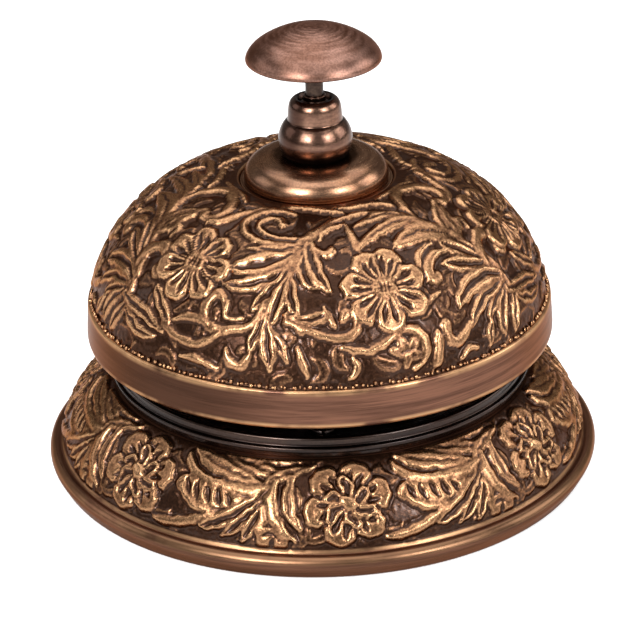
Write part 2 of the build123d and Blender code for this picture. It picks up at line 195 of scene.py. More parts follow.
def through(points, step=0.16, fuller=fullness):
    # a smooth line through given (turn, climb, half width) points
    p = np.array(points, float) * (1, 1, fuller)
    ends = np.vstack([2 * p[0] - p[1], p, 2 * p[-1] - p[-2]])
    out = []
    for a, b, c, d in zip(ends, ends[1:], ends[2:], ends[3:]):
        n = max(3, int(np.hypot((c[0] - b[0]) * 0.7, c[1] - b[1]) / step))
        t = np.linspace(0, 1, n, endpoint=False)[:, None]
        bend, twist = 2 * a - 5 * b + 4 * c - d, 3 * b - a - 3 * c + d
        out.append(0.5 * (2 * b + (c - a) * t + bend * t**2 + twist * t**3))
    line = np.vstack([*out, p[-1:]])
    line[:, 2] = np.maximum(line[:, 2], 0.08)
    return line


def measure(strip, line, margin):
    # for the strip's points near a line: which they are, how deep inside its edge they lie, its half width
    # there, how far they are from its middle, and their share of its length
    wide = line[:, 2].max() + margin
    middle = (line[:, 0].min() + line[:, 0].max()) / 2
    half = strip["period"] / 2
    turn = (strip["turn"] - middle + half) % strip["period"] - half + middle
    span = (line[:, 0].max() - line[:, 0].min()) / 2
    near = (strip["climb"] > line[:, 1].min() - wide) & (strip["climb"] < line[:, 1].max() + wide)
    near &= np.abs(turn - middle) * strip["perDegree"] < span * strip["perDegree"] + wide
    index = np.nonzero(near)[0]
    x = turn[index][:, None] - line[None, :, 0]
    scale = strip["radiusAt"]((strip["climb"][index][:, None] + line[None, :, 1]) / 2) * np.radians(1)
    x = x * scale + strip["warpX"][index][:, None]
    y = strip["climb"][index][:, None] - line[None, :, 1] + strip["warpY"][index][:, None]
    away = np.hypot(x, y)
    inside = line[None, :, 2] - away
    best = inside.argmax(1)
    pick = np.arange(len(index))
    return index, inside[pick, best], line[best, 2], away[pick, best], best / max(1, len(line) - 1)


def paint(strip, points, rise=0.9, hollow=0.0, vein=0.0, rim=0.5, crown=0.9, moat=0.16):
    # one leaf, stem or scroll, laid over what is there
    line = through(points)
    index, inside, wide, away, share = measure(strip, line, 0.6)
    q = np.clip(inside / np.minimum(np.maximum(wide, 0.2), crown), 0, 1)
    body = rise * (0.25 + 0.75 * np.sqrt(1 - (1 - q) ** 2))
    body -= rise * hollow * smoothStep(rim * wide, rim * wide + 0.4, inside)
    ends = smoothStep(0.08, 0.25, share) * (1 - smoothStep(0.75, 0.95, share))
    body -= rise * vein * np.exp(-((away / 0.24) ** 2)) * ends * smoothStep(0.35, 0.6, wide)
    cover = smoothStep(-0.03, 0.16, inside)
    height = strip["height"][index]
    height = height - moat * np.exp(-(((inside + 0.22) / 0.2) ** 2))
    strip["height"][index] = height * (1 - cover) + body * cover


def cut(strip, points, depth=0.45):
    # a slot cut into what is there
    index, inside, *_ = measure(strip, through(points), 0.3)
    strip["height"][index] -= depth * smoothStep(-0.12, 0.22, inside)


def polar(strip, centre, distance, angle):
    # the (turn, climb) at a distance in millimetres and an angle from a centre
    perDegree = strip["radiusAt"](np.array([centre[1]]))[0] * np.radians(1)
    return (
        centre[0] + distance * math.cos(math.radians(angle)) / perDegree,
        centre[1] + distance * math.sin(math.radians(angle)),
    )


def flower(strip, centre, size, petals, turned, rise=0.95, seed=1, stamp=True):
    rng = np.random.default_rng(seed)
    step = 360 / petals
    leans = [turned + k * step + rng.uniform(-5, 5) for k in range(petals)]
    for angle in leans:
        length = size * rng.uniform(0.93, 1.04)
        width = math.sin(math.radians(step / 2)) * length * 0.61
        paint(
            strip,
            [
                (*polar(strip, centre, 0.1 * length, angle), 0.3 * width),
                (*polar(strip, centre, 0.5 * (length - width), angle), 0.7 * width),
                (*polar(strip, centre, length - 1.15 * width, angle), width),
            ],
            rise * rng.uniform(0.92, 1.05), hollow=0.15, rim=0.3, moat=0.24,
        )
    # the slots that fan out along every petal
    for angle in leans:
        for side, far in ((-0.5, 0.84), (-0.2, 0.76), (0.17, 0.8)):
            lean = angle + side * step
            far = far * size * rng.uniform(0.92, 1.03)
            cut(
                strip,
                [
                    (*polar(strip, centre, 0.30 * size, lean), 0.1),
                    (*polar(strip, centre, 0.6 * size, lean), 0.4 if side > -0.4 else 0.22),
                    (*polar(strip, centre, far, lean), 0.16),
                ],
                0.75,
            )
    paint(
        strip, [(*polar(strip, centre, 0.6, 180), 1.3), (*polar(strip, centre, 0.6, 0), 1.3)],
        rise * 0.95, hollow=0.3,
    )
    # the crossed lines of the flower's middle
    for offset in (-0.75, 0, 0.75) if stamp else ():
        level = (centre[0], centre[1] + offset)
        cut(strip, [(*polar(strip, level, 1.7, 180), 0.12), (*polar(strip, level, 1.7, 0), 0.12)], 0.35)
        across = centre[0] + 1.6 * offset
        cut(strip, [(across, centre[1] - 1.3, 0.12), (across, centre[1] + 1.3, 0.12)], 0.35)


def undergrowth(strip, count, seed, climbs, rise=0.42):
    # low curled leaves that fill the ground under the main pattern
    rng = np.random.default_rng(seed)
    for k in range(count):
        turn = strip["turn"][0] + strip["period"] * (k + rng.uniform(0.1, 0.9)) / count
        climb = climbs[0] + (climbs[1] - climbs[0]) * ((k * goldenShare) % 1) + rng.uniform(-0.6, 0.6)
        angle, bend = rng.uniform(0, 360), rng.choice((-1, 1)) * rng.uniform(18, 48)
        length, wide = rng.uniform(1.4, 2.3), rng.uniform(0.6, 1.0)
        here, line = (turn, climb), []
        for share in (0.35, 0.8, 1.0, 0.8, 0.2):
            line.append((*here, wide * share))
            here = polar(strip, here, length, angle)
            angle += bend
        paint(strip, line, rise * rng.uniform(0.8, 1.15), hollow=0.4, rim=0.45, moat=0.08)


def blurred(strip, values, width):
    # values smoothed along and across the strip's rows, by about that width in millimetres
    rows = [values[s : s + n + 1] for s, n in strip["rows"]]
    out = []
    for (start, n), row in zip(strip["rows"], rows):
        cell = strip["period"] / n * strip["perDegree"][start]
        k = max(1, int(width / cell))
        kernel = np.hanning(2 * k + 3)[1:-1]
        ring = np.concatenate([row[:-1][-k:], row[:-1], row[:-1][:k]])
        soft = np.convolve(ring, kernel / kernel.sum(), "valid")
        out.append(np.append(soft, soft[0]))
    fine = max(n for _, n in strip["rows"])
    grid = np.array([np.interp(np.linspace(0, 1, fine + 1), np.linspace(0, 1, len(r)), r) for r in out])
    climbs = np.array([strip["climb"][s] for s, _ in strip["rows"]])
    k = max(1, int(width / np.median(np.abs(np.diff(climbs)))))
    kernel = np.hanning(2 * k + 3)[1:-1]
    kernel /= kernel.sum()
    padded = np.vstack([grid[:1]] * k + [grid] + [grid[-1:]] * k)
    soft = sum(w * padded[i : i + len(grid)] for i, w in enumerate(kernel))
    out = []
    for (_, n), row in zip(strip["rows"], soft):
        out.append(np.interp(np.linspace(0, 1, n + 1), np.linspace(0, 1, fine + 1), row))
    return np.concatenate(out)


def arcSurface(arc):
    # a turned surface whose section is an arc: its radius, height and way out, for a climb along it
    (centreR, centreZ), radius = arc["centre"], arc["radius"]

    def surfaceAt(climb):
        angle = math.radians(arc["start"]) + climb / radius
        return centreR + radius * np.cos(
            angle,
        ), centreZ + radius * np.sin(angle), np.cos(angle), np.sin(angle)

    return surfaceAt


def stitched(rowA, rowB):
    # faces between two rows of points, each (first index, number of gaps); one count divides the other
    (startA, nA), (startB, nB) = rowA, rowB
    if nA == nB:
        i = np.arange(nA)
        return np.stack([startA + i, startA + i + 1, startB + i + 1, startB + i], 1).tolist()
    flip = nA < nB
    if flip:
        startA, nA, startB, nB = startB, nB, startA, nA
    k = nA // nB
    faces = []
    for j in range(nB):
        for i in range(k):
            corner = startB + j + (0 if i < k / 2 else 1)
            faces.append([startA + j * k + i, startA + j * k + i + 1, corner])
        faces.append([startA + j * k + (k + 1) // 2, startB + j + 1, startB + j])
    return [f[::-1] for f in faces] if flip else faces


def reliefSector(name, strip, surfaceAt, outline):
    # one repeat of a closed piece: the strip's painted rows, then plain rows of (radius, height, gaps and
    # how much rubbed wear and painted highlight line) back to its start
    radius, z, outR, outZ = surfaceAt(strip["climb"])
    height = strip["height"]
    cast = blurred(strip, height, 0.3)  # the casting rounds what the colours follow sharply
    r, z = radius + outR * cast, z + outZ * cast
    angle = np.radians(strip["turn"])
    points = [np.stack([r * np.sin(angle), -r * np.cos(angle), z], 1)]
    rows = list(strip["rows"])
    relief = [np.clip(height, 0, 1.2)]
    cavity = [height - blurred(strip, height, 1.1)]
    worn = [np.zeros(len(r))]
    start, first = len(r), strip["turn"][0]
    for ring, ringZ, gaps, *rubAndHighlight in outline:
        angle = np.radians(first + strip["period"] * np.arange(gaps + 1) / gaps)
        points.append(np.stack([ring * np.sin(angle), -ring * np.cos(angle), np.full(gaps + 1, ringZ)], 1))
        rows.append((start, gaps))
        relief.append(np.full(gaps + 1, -1.0))
        cavity.append(np.zeros(gaps + 1))
        worn.append(np.full(gaps + 1, float(*rubAndHighlight) if rubAndHighlight else 0.0))
        start += gaps + 1
    faces = []
    for a, b in zip(rows, rows[1:] + rows[:1]):
        faces += stitched(a, b)
    piece = objectFrom(name, np.vstack(points), faces)
    for label, values in (("relief", relief), ("cavity", cavity), ("worn", worn)):
        attribute = piece.data.attributes.new(label, "FLOAT", "POINT")
        attribute.data.foreach_set("value", np.concatenate(values).astype(np.float32))
    return piece


# Node trees. What feeds a socket is a number, a colour, another socket, or a node, for its first output.


def feed(tree, slot, value):
    if isinstance(value, bpy.types.Node):
        value = value.outputs[0]
    if isinstance(value, bpy.types.NodeSocket):
        tree.links.new(value, slot)
    elif isinstance(value, tuple) and len(slot.default_value) > len(value):
        slot.default_value = (*value, 1)
    else:
        slot.default_value = value


def newNode(tree, kind, feeds=(), **settings):
    made = tree.nodes.new(kind)
    for label, value in settings.items():
        setattr(made, label, value)
    for label, value in dict(feeds).items():
        feed(tree, made.inputs[label], value)
    return made


def newTree(kind, name, inputs, outputs):
    tree = bpy.data.node_groups.new(name, kind + "NodeTree")
    for flow, sockets in (("INPUT", inputs), ("OUTPUT", outputs)):
        for label, socket in sockets.items():
            tree.interface.new_socket(label, in_out=flow, socket_type="NodeSocket" + socket)
    return tree, tree.nodes.new("NodeGroupInput").outputs, tree.nodes.new("NodeGroupOutput").inputs


def mathNode(tree, operation, *values):
    return newNode(tree, "ShaderNodeMath", enumerate(values), operation=operation).outputs[0]


def weighted(tree, *terms):
    # the sum of every value times its weight
    total = mathNode(tree, "MULTIPLY", *terms[0])
    for value, weight in terms[1:]:
        total = mathNode(tree, "ADD", total, mathNode(tree, "MULTIPLY", value, weight))
    return total


def rangeNode(tree, value, low, high, toLow=0.0, toHigh=1.0):
    # a smooth step between two values
    feeds = {"Value": value, "From Min": low, "From Max": high, "To Min": toLow, "To Max": toHigh}
    return newNode(tree, "ShaderNodeMapRange", feeds, interpolation_type="SMOOTHSTEP").outputs["Result"]


def noiseNode(tree, vector, scale, detail=3.0, roughness=0.55):
    feeds = {"Vector": vector, "Scale": scale, "Detail": detail, "Roughness": roughness}
    return newNode(tree, "ShaderNodeTexNoise", feeds).outputs["Fac"]


def mixColor(tree, factor, a, b, mode="MIX"):
    feeds = {0: factor, 6: a, 7: b}
    return newNode(tree, "ShaderNodeMix", feeds, data_type="RGBA", blend_type=mode).outputs[2]


def vectorNode(tree, operation, *values):
    return newNode(tree, "ShaderNodeVectorMath", enumerate(values), operation=operation)


def combined(tree, **parts):
    return newNode(tree, "ShaderNodeCombineXYZ", parts)


def separated(tree, vector):
    return newNode(tree, "ShaderNodeSeparateXYZ", {0: vector}).outputs


def aroundAxisTree():
    # copies of one sector of a piece, turned round the bell's axis and joined
    tree, given, made = newTree(
        "Geometry", "copiesAroundAxis",
        {"Sector": "Geometry", "Copies": "Int", "Join Distance": "Float", "Finish": "Material"},
        {"Ring": "Geometry"},
    )
    line = newNode(tree, "GeometryNodeMeshLine", {"Count": given["Copies"], "Offset": (0, 0, 0)})
    index = newNode(tree, "GeometryNodeInputIndex").outputs[0]
    angle = mathNode(tree, "MULTIPLY", index, mathNode(tree, "DIVIDE", fullTurn, given["Copies"]))
    turn = newNode(tree, "FunctionNodeEulerToRotation", {0: combined(tree, Z=angle)})
    feeds = {"Points": line, "Instance": given["Sector"], "Rotation": turn}
    copies = newNode(tree, "GeometryNodeInstanceOnPoints", feeds)
    real = newNode(tree, "GeometryNodeRealizeInstances", {0: copies})
    feeds = {"Geometry": real, "Distance": given["Join Distance"]}
    merged = newNode(tree, "GeometryNodeMergeByDistance", feeds)
    finish = newNode(tree, "GeometryNodeSetMaterial", {"Geometry": merged, "Material": given["Finish"]})
    feed(tree, made["Ring"], finish)
    return tree


def plainResult(source, tree, settings, name):
    # runs a tree on a source piece, and gives its result as a plain mesh
    modifier = source.modifiers.new("tree", "NODES")
    modifier.node_group = tree
    for item in tree.interface.items_tree:
        if item.in_out == "INPUT" and item.name in settings:
            modifier[item.identifier] = settings[item.name]
    source.update_tag()
    bpy.context.view_layer.update()
    graph = bpy.context.evaluated_depsgraph_get()
    mesh = bpy.data.meshes.new_from_object(source.evaluated_get(graph))
    mesh.name = name
    bpy.data.objects.remove(source)
    piece = bpy.data.objects.new(name, mesh)
    bpy.context.scene.collection.objects.link(piece)
    return piece


copiesAroundAxis = aroundAxisTree()
joinDistance = 0.00002  # metres


def makeSpunLines():
    # fine lathe lines: they run round the axis, and change with height and radius only, a little broken up
    group, given, made = newTree(
        "Shader", "spunLines", {"Vector": "Vector", "Lines per mm": "Float", "Broken": "Float"},
        {"Lines": "Float", "Bands": "Float"},
    )
    apart = separated(group, given["Vector"])
    flat = combined(group, X=apart["X"], Y=apart["Y"])
    radius = vectorNode(group, "LENGTH", flat).outputs["Value"]
    direction = separated(group, vectorNode(group, "NORMALIZE", flat))
    perMetre = mathNode(group, "MULTIPLY", given["Lines per mm"], 1000.0)
    place = combined(
        group, X=mathNode(group, "MULTIPLY", direction["X"], given["Broken"]),
        Y=mathNode(group, "MULTIPLY", direction["Y"], given["Broken"]),
        Z=weighted(group, (apart["Z"], perMetre), (radius, perMetre)),
    )
    wide = vectorNode(group, "MULTIPLY", place, (0.3, 0.3, 0.2))
    feed(group, made["Lines"], noiseNode(group, place, 1.0, 2.0, 0.6))
    feed(group, made["Bands"], noiseNode(group, wide, 1.0, 3.0, 0.5))
    return group


def makeCastPatina():
    # where the patina is thick, where it has rubbed through to bright metal, and the skin of the casting
    group, given, made = newTree(
        "Shader", "castPatina",
        {"Vector": "Vector", "Relief": "Float", "Cavity": "Float", "Rub": "Float", "Grain mm": "Float"},
        {"Bright": "Float", "Dark": "Float", "Skin": "Float", "Blotch": "Float"},
    )
    coarse = noiseNode(group, given["Vector"], 120.0, 3.0)
    middle = noiseNode(group, given["Vector"], 700.0, 3.0, 0.6)
    fine = noiseNode(group, given["Vector"], mathNode(group, "DIVIDE", 1000.0, given["Grain mm"]), 2.0, 0.6)
    terms = (given["Relief"], 1.0), (given["Cavity"], 1.5), (middle, 0.55), (coarse, 0.5), (fine, 0.5)
    lift = mathNode(group, "SUBTRACT", weighted(group, *terms), 0.775)
    low = mathNode(group, "SUBTRACT", 0.7, mathNode(group, "MULTIPLY", given["Rub"], 0.5))
    bright = rangeNode(group, lift, mathNode(group, "ADD", low, 0.08), mathNode(group, "ADD", low, 0.85))
    feed(group, made["Bright"], bright)
    feed(group, made["Dark"], rangeNode(group, lift, 0.82, 0.08))
    feed(group, made["Skin"], fine)
    feed(group, made["Blotch"], coarse)
    return group


def makePaintedSideShade():
    # painted shade on one side of a round piece, at a bearing given as a direction across the axis
    group, given, made = newTree(
        "Shader", "paintedSideShade", {"Vector": "Vector", "Toward X": "Float", "Toward Y": "Float"},
        {"Painted Shade": "Float"},
    )
    flat = vectorNode(group, "MULTIPLY", given["Vector"], (1, 1, 0))
    unit = separated(group, vectorNode(group, "NORMALIZE", flat))
    toward = weighted(group, (unit["X"], given["Toward X"]), (unit["Y"], given["Toward Y"]))
    feed(group, made["Painted Shade"], rangeNode(group, toward, 0.82, 1.0))
    return group


def makeCrevice():
    # dark patina and painted shade in a groove round the axis, at a given radius and height
    group, given, made = newTree(
        "Shader", "crevice", {"Vector": "Vector", "Radius": "Float", "Height": "Float", "Reach": "Float"},
        {"Patina And Shade": "Float"},
    )
    apart = separated(group, given["Vector"])
    square = weighted(group, (apart["X"], apart["X"]), (apart["Y"], apart["Y"]))
    aside = mathNode(group, "SUBTRACT", mathNode(group, "SQRT", square), given["Radius"])
    above = mathNode(group, "SUBTRACT", apart["Z"], given["Height"])
    away = mathNode(group, "SQRT", weighted(group, (aside, aside), (above, above)))
    cloud = mathNode(group, "SUBTRACT", noiseNode(group, given["Vector"], 400.0, 3.0), 0.5)
    share = mathNode(group, "DIVIDE", away, given["Reach"])
    share = mathNode(group, "ADD", share, mathNode(group, "MULTIPLY", cloud, 0.5))
    feed(group, made["Patina And Shade"], rangeNode(group, share, 1.0, 0.35))
    return group


spunLines = makeSpunLines()
castPatina = makeCastPatina()
paintedSideShade = makePaintedSideShade()
crevice = makeCrevice()


def startMaterial(name, edge=(1, 1, 1)):
    material = bpy.data.materials.new(name)
    material.use_nodes = True
    tree = material.node_tree
    shader = tree.nodes["Principled BSDF"]
    feed(tree, shader.inputs["Specular Tint"], edge)
    return material, tree, shader, newNode(tree, "ShaderNodeTexCoord").outputs["Object"]


def setShader(tree, shader, feeds):
    for label, value in feeds.items():
        feed(tree, shader.inputs[label], value)


def addBump(tree, shader, height, distance, after=None):
    feeds = {"Height": height, "Distance": distance}
    if after is not None:
        feeds["Normal"] = after
    normal = newNode(tree, "ShaderNodeBump", feeds).outputs["Normal"]
    feed(tree, shader.inputs["Normal"], normal)
    return normal


def useGroup(tree, group, **values):
    feeds = {label.replace("_", " "): value for label, value in values.items()}
    return newNode(tree, "ShaderNodeGroup", feeds, node_tree=group).outputs


def antiqueCast(name, look):
    # cast bronze with a dark lacquered patina, rubbed bright on what stands out; plain zones are brushed,
    # with painted shade on one side and rubbed wear with painted highlight lines on their edges
    material, tree, shader, place = startMaterial(name, (0.74, 0.5, 0.41))
    relief, cavity, worn = (
        newNode(tree, "ShaderNodeAttribute", attribute_name=label).outputs["Fac"]
        for label in ("relief", "cavity", "worn")
    )
    patina = useGroup(
        tree, castPatina, Vector=place, Relief=relief, Cavity=cavity, Rub=look["rub"],
        Grain_mm=look["grain"],
    )
    lines = useGroup(tree, spunLines, Vector=place, Lines_per_mm=look["lines"], Broken=6.0)
    plain = rangeNode(tree, relief, -0.12, -0.55)
    painted = mathNode(tree, "SUBTRACT", 1.0, plain)
    cast = mixColor(tree, patina["Bright"], look["middle"], look["bright"])
    cast = mixColor(tree, rangeNode(tree, patina["Blotch"], 0.35, 0.7, 0.0, 0.35), cast, look["warm"])
    cast = mixColor(tree, patina["Dark"], cast, look["dark"])
    cast = mixColor(tree, 1.0, cast, rangeNode(tree, patina["Skin"], 0.35, 0.65, 0.8, 1.17), "MULTIPLY")
    streak = weighted(tree, (lines["Bands"], 0.6), (lines["Lines"], 0.4))
    brushed = mixColor(tree, rangeNode(tree, streak, 0.36, 0.64), look["brushedDark"], look["brushed"])
    # painted shade: the brushed zones darken toward the dark patina colour on one side
    sideShade = useGroup(tree, paintedSideShade, Vector=place, Toward_X=-0.63, Toward_Y=-0.78)["Painted Shade"]
    brushed = mixColor(tree, mathNode(tree, "MULTIPLY", sideShade, look["sideShade"]), brushed, look["dark"])
    # rubbed wear and painted highlight lines: flagged edge rows brighten, broken up by blotches
    rubAndHighlight = mathNode(tree, "MULTIPLY", worn, rangeNode(tree, patina["Blotch"], 0.3, 0.55))
    brushed = mixColor(tree, rubAndHighlight, brushed, look["bright"])
    castRough = weighted(
        tree, (patina["Skin"], 0.16), (patina["Bright"], -0.07), (look["roughness"] - 0.08, 1.0),
    )
    plainRough = weighted(tree, (lines["Lines"], 0.14), (look["brushedRoughness"] - 0.07, 1.0))
    rough = newNode(tree, "ShaderNodeMix", {0: plain, 2: castRough, 3: plainRough})
    lacquer = mathNode(tree, "MULTIPLY", patina["Dark"], painted)
    lacquer = mathNode(tree, "MULTIPLY", lacquer, rangeNode(tree, patina["Blotch"], 0.42, 0.58, 0.25, 1.0))
    setShader(
        tree, shader,
        {
            "Base Color": mixColor(tree, plain, cast, brushed), "Roughness": rough,
            "Metallic": rangeNode(tree, patina["Dark"], 0.0, 1.0, 1.0, 0.9),
            "Coat Weight": rangeNode(tree, lacquer, 0.0, 1.0, look["coat"], 0.22), "Coat Roughness": 0.12,
        },
    )
    skin = addBump(tree, shader, mathNode(tree, "MULTIPLY", patina["Skin"], painted), look["skinDepth"])
    addBump(tree, shader, mathNode(tree, "MULTIPLY", lines["Lines"], plain), look["brushDepth"], after=skin)
    return material


def turnedMetal(name, look):
    # polished or spun metal with lathe lines; what a finish leaves out has the usual value
    look = {**usualMetal, **look}
    material, tree, shader, place = startMaterial(name, look["edge"])
    lines = useGroup(tree, spunLines, Vector=place, Lines_per_mm=look["lines"], Broken=look["broken"])
    patina = useGroup(tree, castPatina, Vector=place, Relief=0.5, Cavity=0.0, Rub=0.5, Grain_mm=0.4)
    tone = weighted(tree, (lines["Bands"], 1 - look["lined"]), (lines["Lines"], look["lined"]))
    color = mixColor(tree, rangeNode(tree, tone, 0.35, 0.65), look["dark"], look["light"])
    color = mixColor(tree, rangeNode(tree, patina["Blotch"], 0.4, 0.7, 0.0, 0.3), color, look["warm"])
    speck = rangeNode(tree, patina["Skin"], 0.35, 0.65, 1 - look["speck"], 1 + look["speck"])
    color = mixColor(tree, 1.0, color, speck, "MULTIPLY")
    # dark patina and painted shade in the grooves, darkened toward near black
    for radius, height, spread in look["patinaAndShade"]:
        patinaAndShade = useGroup(
            tree, crevice, Vector=place, Radius=radius * mm, Height=height * mm, Reach=spread * mm,
        )["Patina And Shade"]
        color = mixColor(tree, mathNode(tree, "MULTIPLY", patinaAndShade, 0.9), color, (0.012, 0.007, 0.006))
    # painted shade: one side darkened toward a dark brown
    for towardX, towardY, amount in look["sideShade"]:
        sideShade = useGroup(tree, paintedSideShade, Vector=place, Toward_X=towardX, Toward_Y=towardY)["Painted Shade"]
        color = mixColor(tree, mathNode(tree, "MULTIPLY", sideShade, amount), color, (0.05, 0.022, 0.015))
    rough = weighted(
        tree, (lines["Lines"], look["roughVaries"]), (patina["Blotch"], 0.05),
        (look["roughness"] - look["roughVaries"] / 2, 1.0),
    )
    setShader(
        tree, shader,
        {
            "Base Color": color, "Roughness": rough, "Metallic": 1.0,
            "Coat Weight": look["coat"], "Coat Roughness": 0.1,
        },
    )
    addBump(tree, shader, lines["Lines"], look["depth"])
    return material


def fibreMaterial(name, look):
    # matted fibres: felt, or pressed fibre board
    material, tree, shader, place = startMaterial(name)
    fuzz = noiseNode(tree, place, look["scale"], 6.0, 0.7)
    cloud = noiseNode(tree, place, look["scale"] / 9, 3.0)
    color = mixColor(tree, rangeNode(tree, fuzz, 0.3, 0.7), look["dark"], look["light"])
    color = mixColor(tree, rangeNode(tree, cloud, 0.35, 0.75, 0.0, 0.4), color, look["light"])
    setShader(
        tree, shader,
        {"Base Color": color, "Roughness": look["roughness"], "Sheen Weight": look["sheen"]},
    )
    addBump(tree, shader, fuzz, look["depth"])
    return material


# Bump depths are in metres. Patina and painted shade in a groove is (radius, height, reach), painted side
# shade is (toward X, toward Y, amount).
usualMetal = {
    "broken": 5.0, "lined": 0.3, "speck": 0.15, "roughVaries": 0.12, "depth": 0.000006, "coat": 0.0,
    "edge": (0.85, 0.85, 0.85), "patinaAndShade": (), "sideShade": (),
}
domeFinish = antiqueCast("antiqueCastDome", {
    "rub": 0.5, "grain": 0.45, "lines": 5.0,
    "bright": (0.54, 0.305, 0.152), "middle": (0.27, 0.135, 0.068), "dark": (0.038, 0.016, 0.0085),
    "warm": (0.27, 0.11, 0.06),
    "brushed": (0.175, 0.08, 0.05), "brushedDark": (0.08, 0.036, 0.023), "sideShade": 0.8,
    "roughness": 0.32, "brushedRoughness": 0.30, "coat": 0.04, "skinDepth": 0.00005, "brushDepth": 0.00002,
})
flangeFinish = antiqueCast("antiqueCastFlange", {
    "rub": 0.55, "grain": 0.45, "lines": 5.0,
    "bright": (0.43, 0.243, 0.122), "middle": (0.235, 0.118, 0.058), "dark": (0.036, 0.015, 0.008),
    "warm": (0.27, 0.11, 0.055),
    "brushed": (0.15, 0.068, 0.04), "brushedDark": (0.075, 0.034, 0.02), "sideShade": 0.0,
    "roughness": 0.31, "brushedRoughness": 0.30, "coat": 0.04, "skinDepth": 0.00005, "brushDepth": 0.00002,
})
polishedBronze = turnedMetal("polishedBronze", {
    "lines": 9.0, "dark": (0.12, 0.06, 0.042), "light": (0.22, 0.12, 0.08), "warm": (0.26, 0.12, 0.07),
    "roughness": 0.22, "coat": 0.1,
    "patinaAndShade": ((6.6, 64.2, 2.4), (5.6, 71.4, 0.3), (3.0, 75.7, 1.3)),
    "sideShade": ((-0.78, -0.63, 0.8),),
})
capBronze = turnedMetal("capBronze", {
    "lines": 9.0, "dark": (0.20, 0.10, 0.062), "light": (0.38, 0.21, 0.128), "warm": (0.46, 0.22, 0.105),
    "roughness": 0.23, "coat": 0.1,
    "patinaAndShade": ((6.6, 64.2, 2.6), (14.5, 58.9, 0.3)), "edge": (0.6, 0.48, 0.42),
    "sideShade": ((-0.75, -0.66, 0.45),),
})
spunCopper = turnedMetal("spunCopper", {
    "lines": 1.7, "broken": 1.2, "dark": (0.14, 0.07, 0.05), "light": (0.31, 0.172, 0.132),
    "warm": (0.25, 0.12, 0.08),
    "roughness": 0.34, "roughVaries": 0.2, "depth": 0.00007, "speck": 0.2, "lined": 0.7,
    "edge": (0.75, 0.5, 0.42),
})
blackenedRing = turnedMetal("blackenedRing", {
    "lines": 7.0, "dark": (0.018, 0.012, 0.011), "light": (0.04, 0.026, 0.02), "warm": (0.06, 0.03, 0.02),
    "roughness": 0.24, "roughVaries": 0.1, "coat": 0.2,
})
brightSteel = turnedMetal("brightSteel", {
    "lines": 6.0, "dark": (0.42, 0.42, 0.43), "light": (0.60, 0.60, 0.61), "warm": (0.50, 0.48, 0.45),
    "roughness": 0.28, "roughVaries": 0.14,
})
springSteel = turnedMetal("springSteel", {
    "lines": 8.0, "dark": (0.26, 0.27, 0.29), "light": (0.42, 0.43, 0.45), "warm": (0.30, 0.30, 0.32),
    "roughness": 0.3, "depth": 0.000004,
})
zincPlate = turnedMetal("zincPlate", {
    "lines": 4.0, "dark": (0.48, 0.48, 0.46), "light": (0.66, 0.66, 0.62), "warm": (0.60, 0.57, 0.46),
    "roughness": 0.34, "roughVaries": 0.14, "depth": 0.000004,
})
strikerBrass = turnedMetal("strikerBrass", {
    "lines": 6.0, "dark": (0.58, 0.38, 0.14), "light": (0.78, 0.56, 0.25), "warm": (0.62, 0.38, 0.14),
    "roughness": 0.22,
})
darkRod = turnedMetal("darkRod", {
    "lines": 7.0, "dark": (0.03, 0.02, 0.017), "light": (0.06, 0.04, 0.03), "warm": (0.07, 0.036, 0.025),
    "roughness": 0.22, "roughVaries": 0.1, "depth": 0.000004,
})
blackFelt = fibreMaterial("blackFelt", {
    "scale": 1800.0, "dark": (0.006, 0.006, 0.007), "light": (0.035, 0.034, 0.036), "roughness": 0.95,
    "sheen": 0.35, "depth": 0.00025,
})
redFibre = fibreMaterial("redFibre", {
    "scale": 1200.0, "dark": (0.16, 0.05, 0.03), "light": (0.30, 0.11, 0.07), "roughness": 0.7,
    "sheen": 0.0, "depth": 0.00005,
})
print("materials made")

# The dome's shoulder is an arc round a centre (radius, height). A climb runs along it, from its foot.
shoulder = {
    "centre": (15.6, 29.8), "radius": 29.8, "foot": 35.2, "seat": 58.8, "seatRadius": 15.05, "wall": 2.6,
}
shoulder["start"] = math.degrees(math.asin((shoulder["foot"] - shoulder["centre"][1]) / shoulder["radius"]))
shoulder["climb"] = shoulder["radius"] * math.radians(90 - shoulder["start"])
shoulderAt = arcSurface(shoulder)
domeRelief = {
    "repeats": 3, "fineGaps": 320, "coarseGaps": 160, "change": 22.0, "fineRow": 0.35, "coarseRow": 0.4,
}


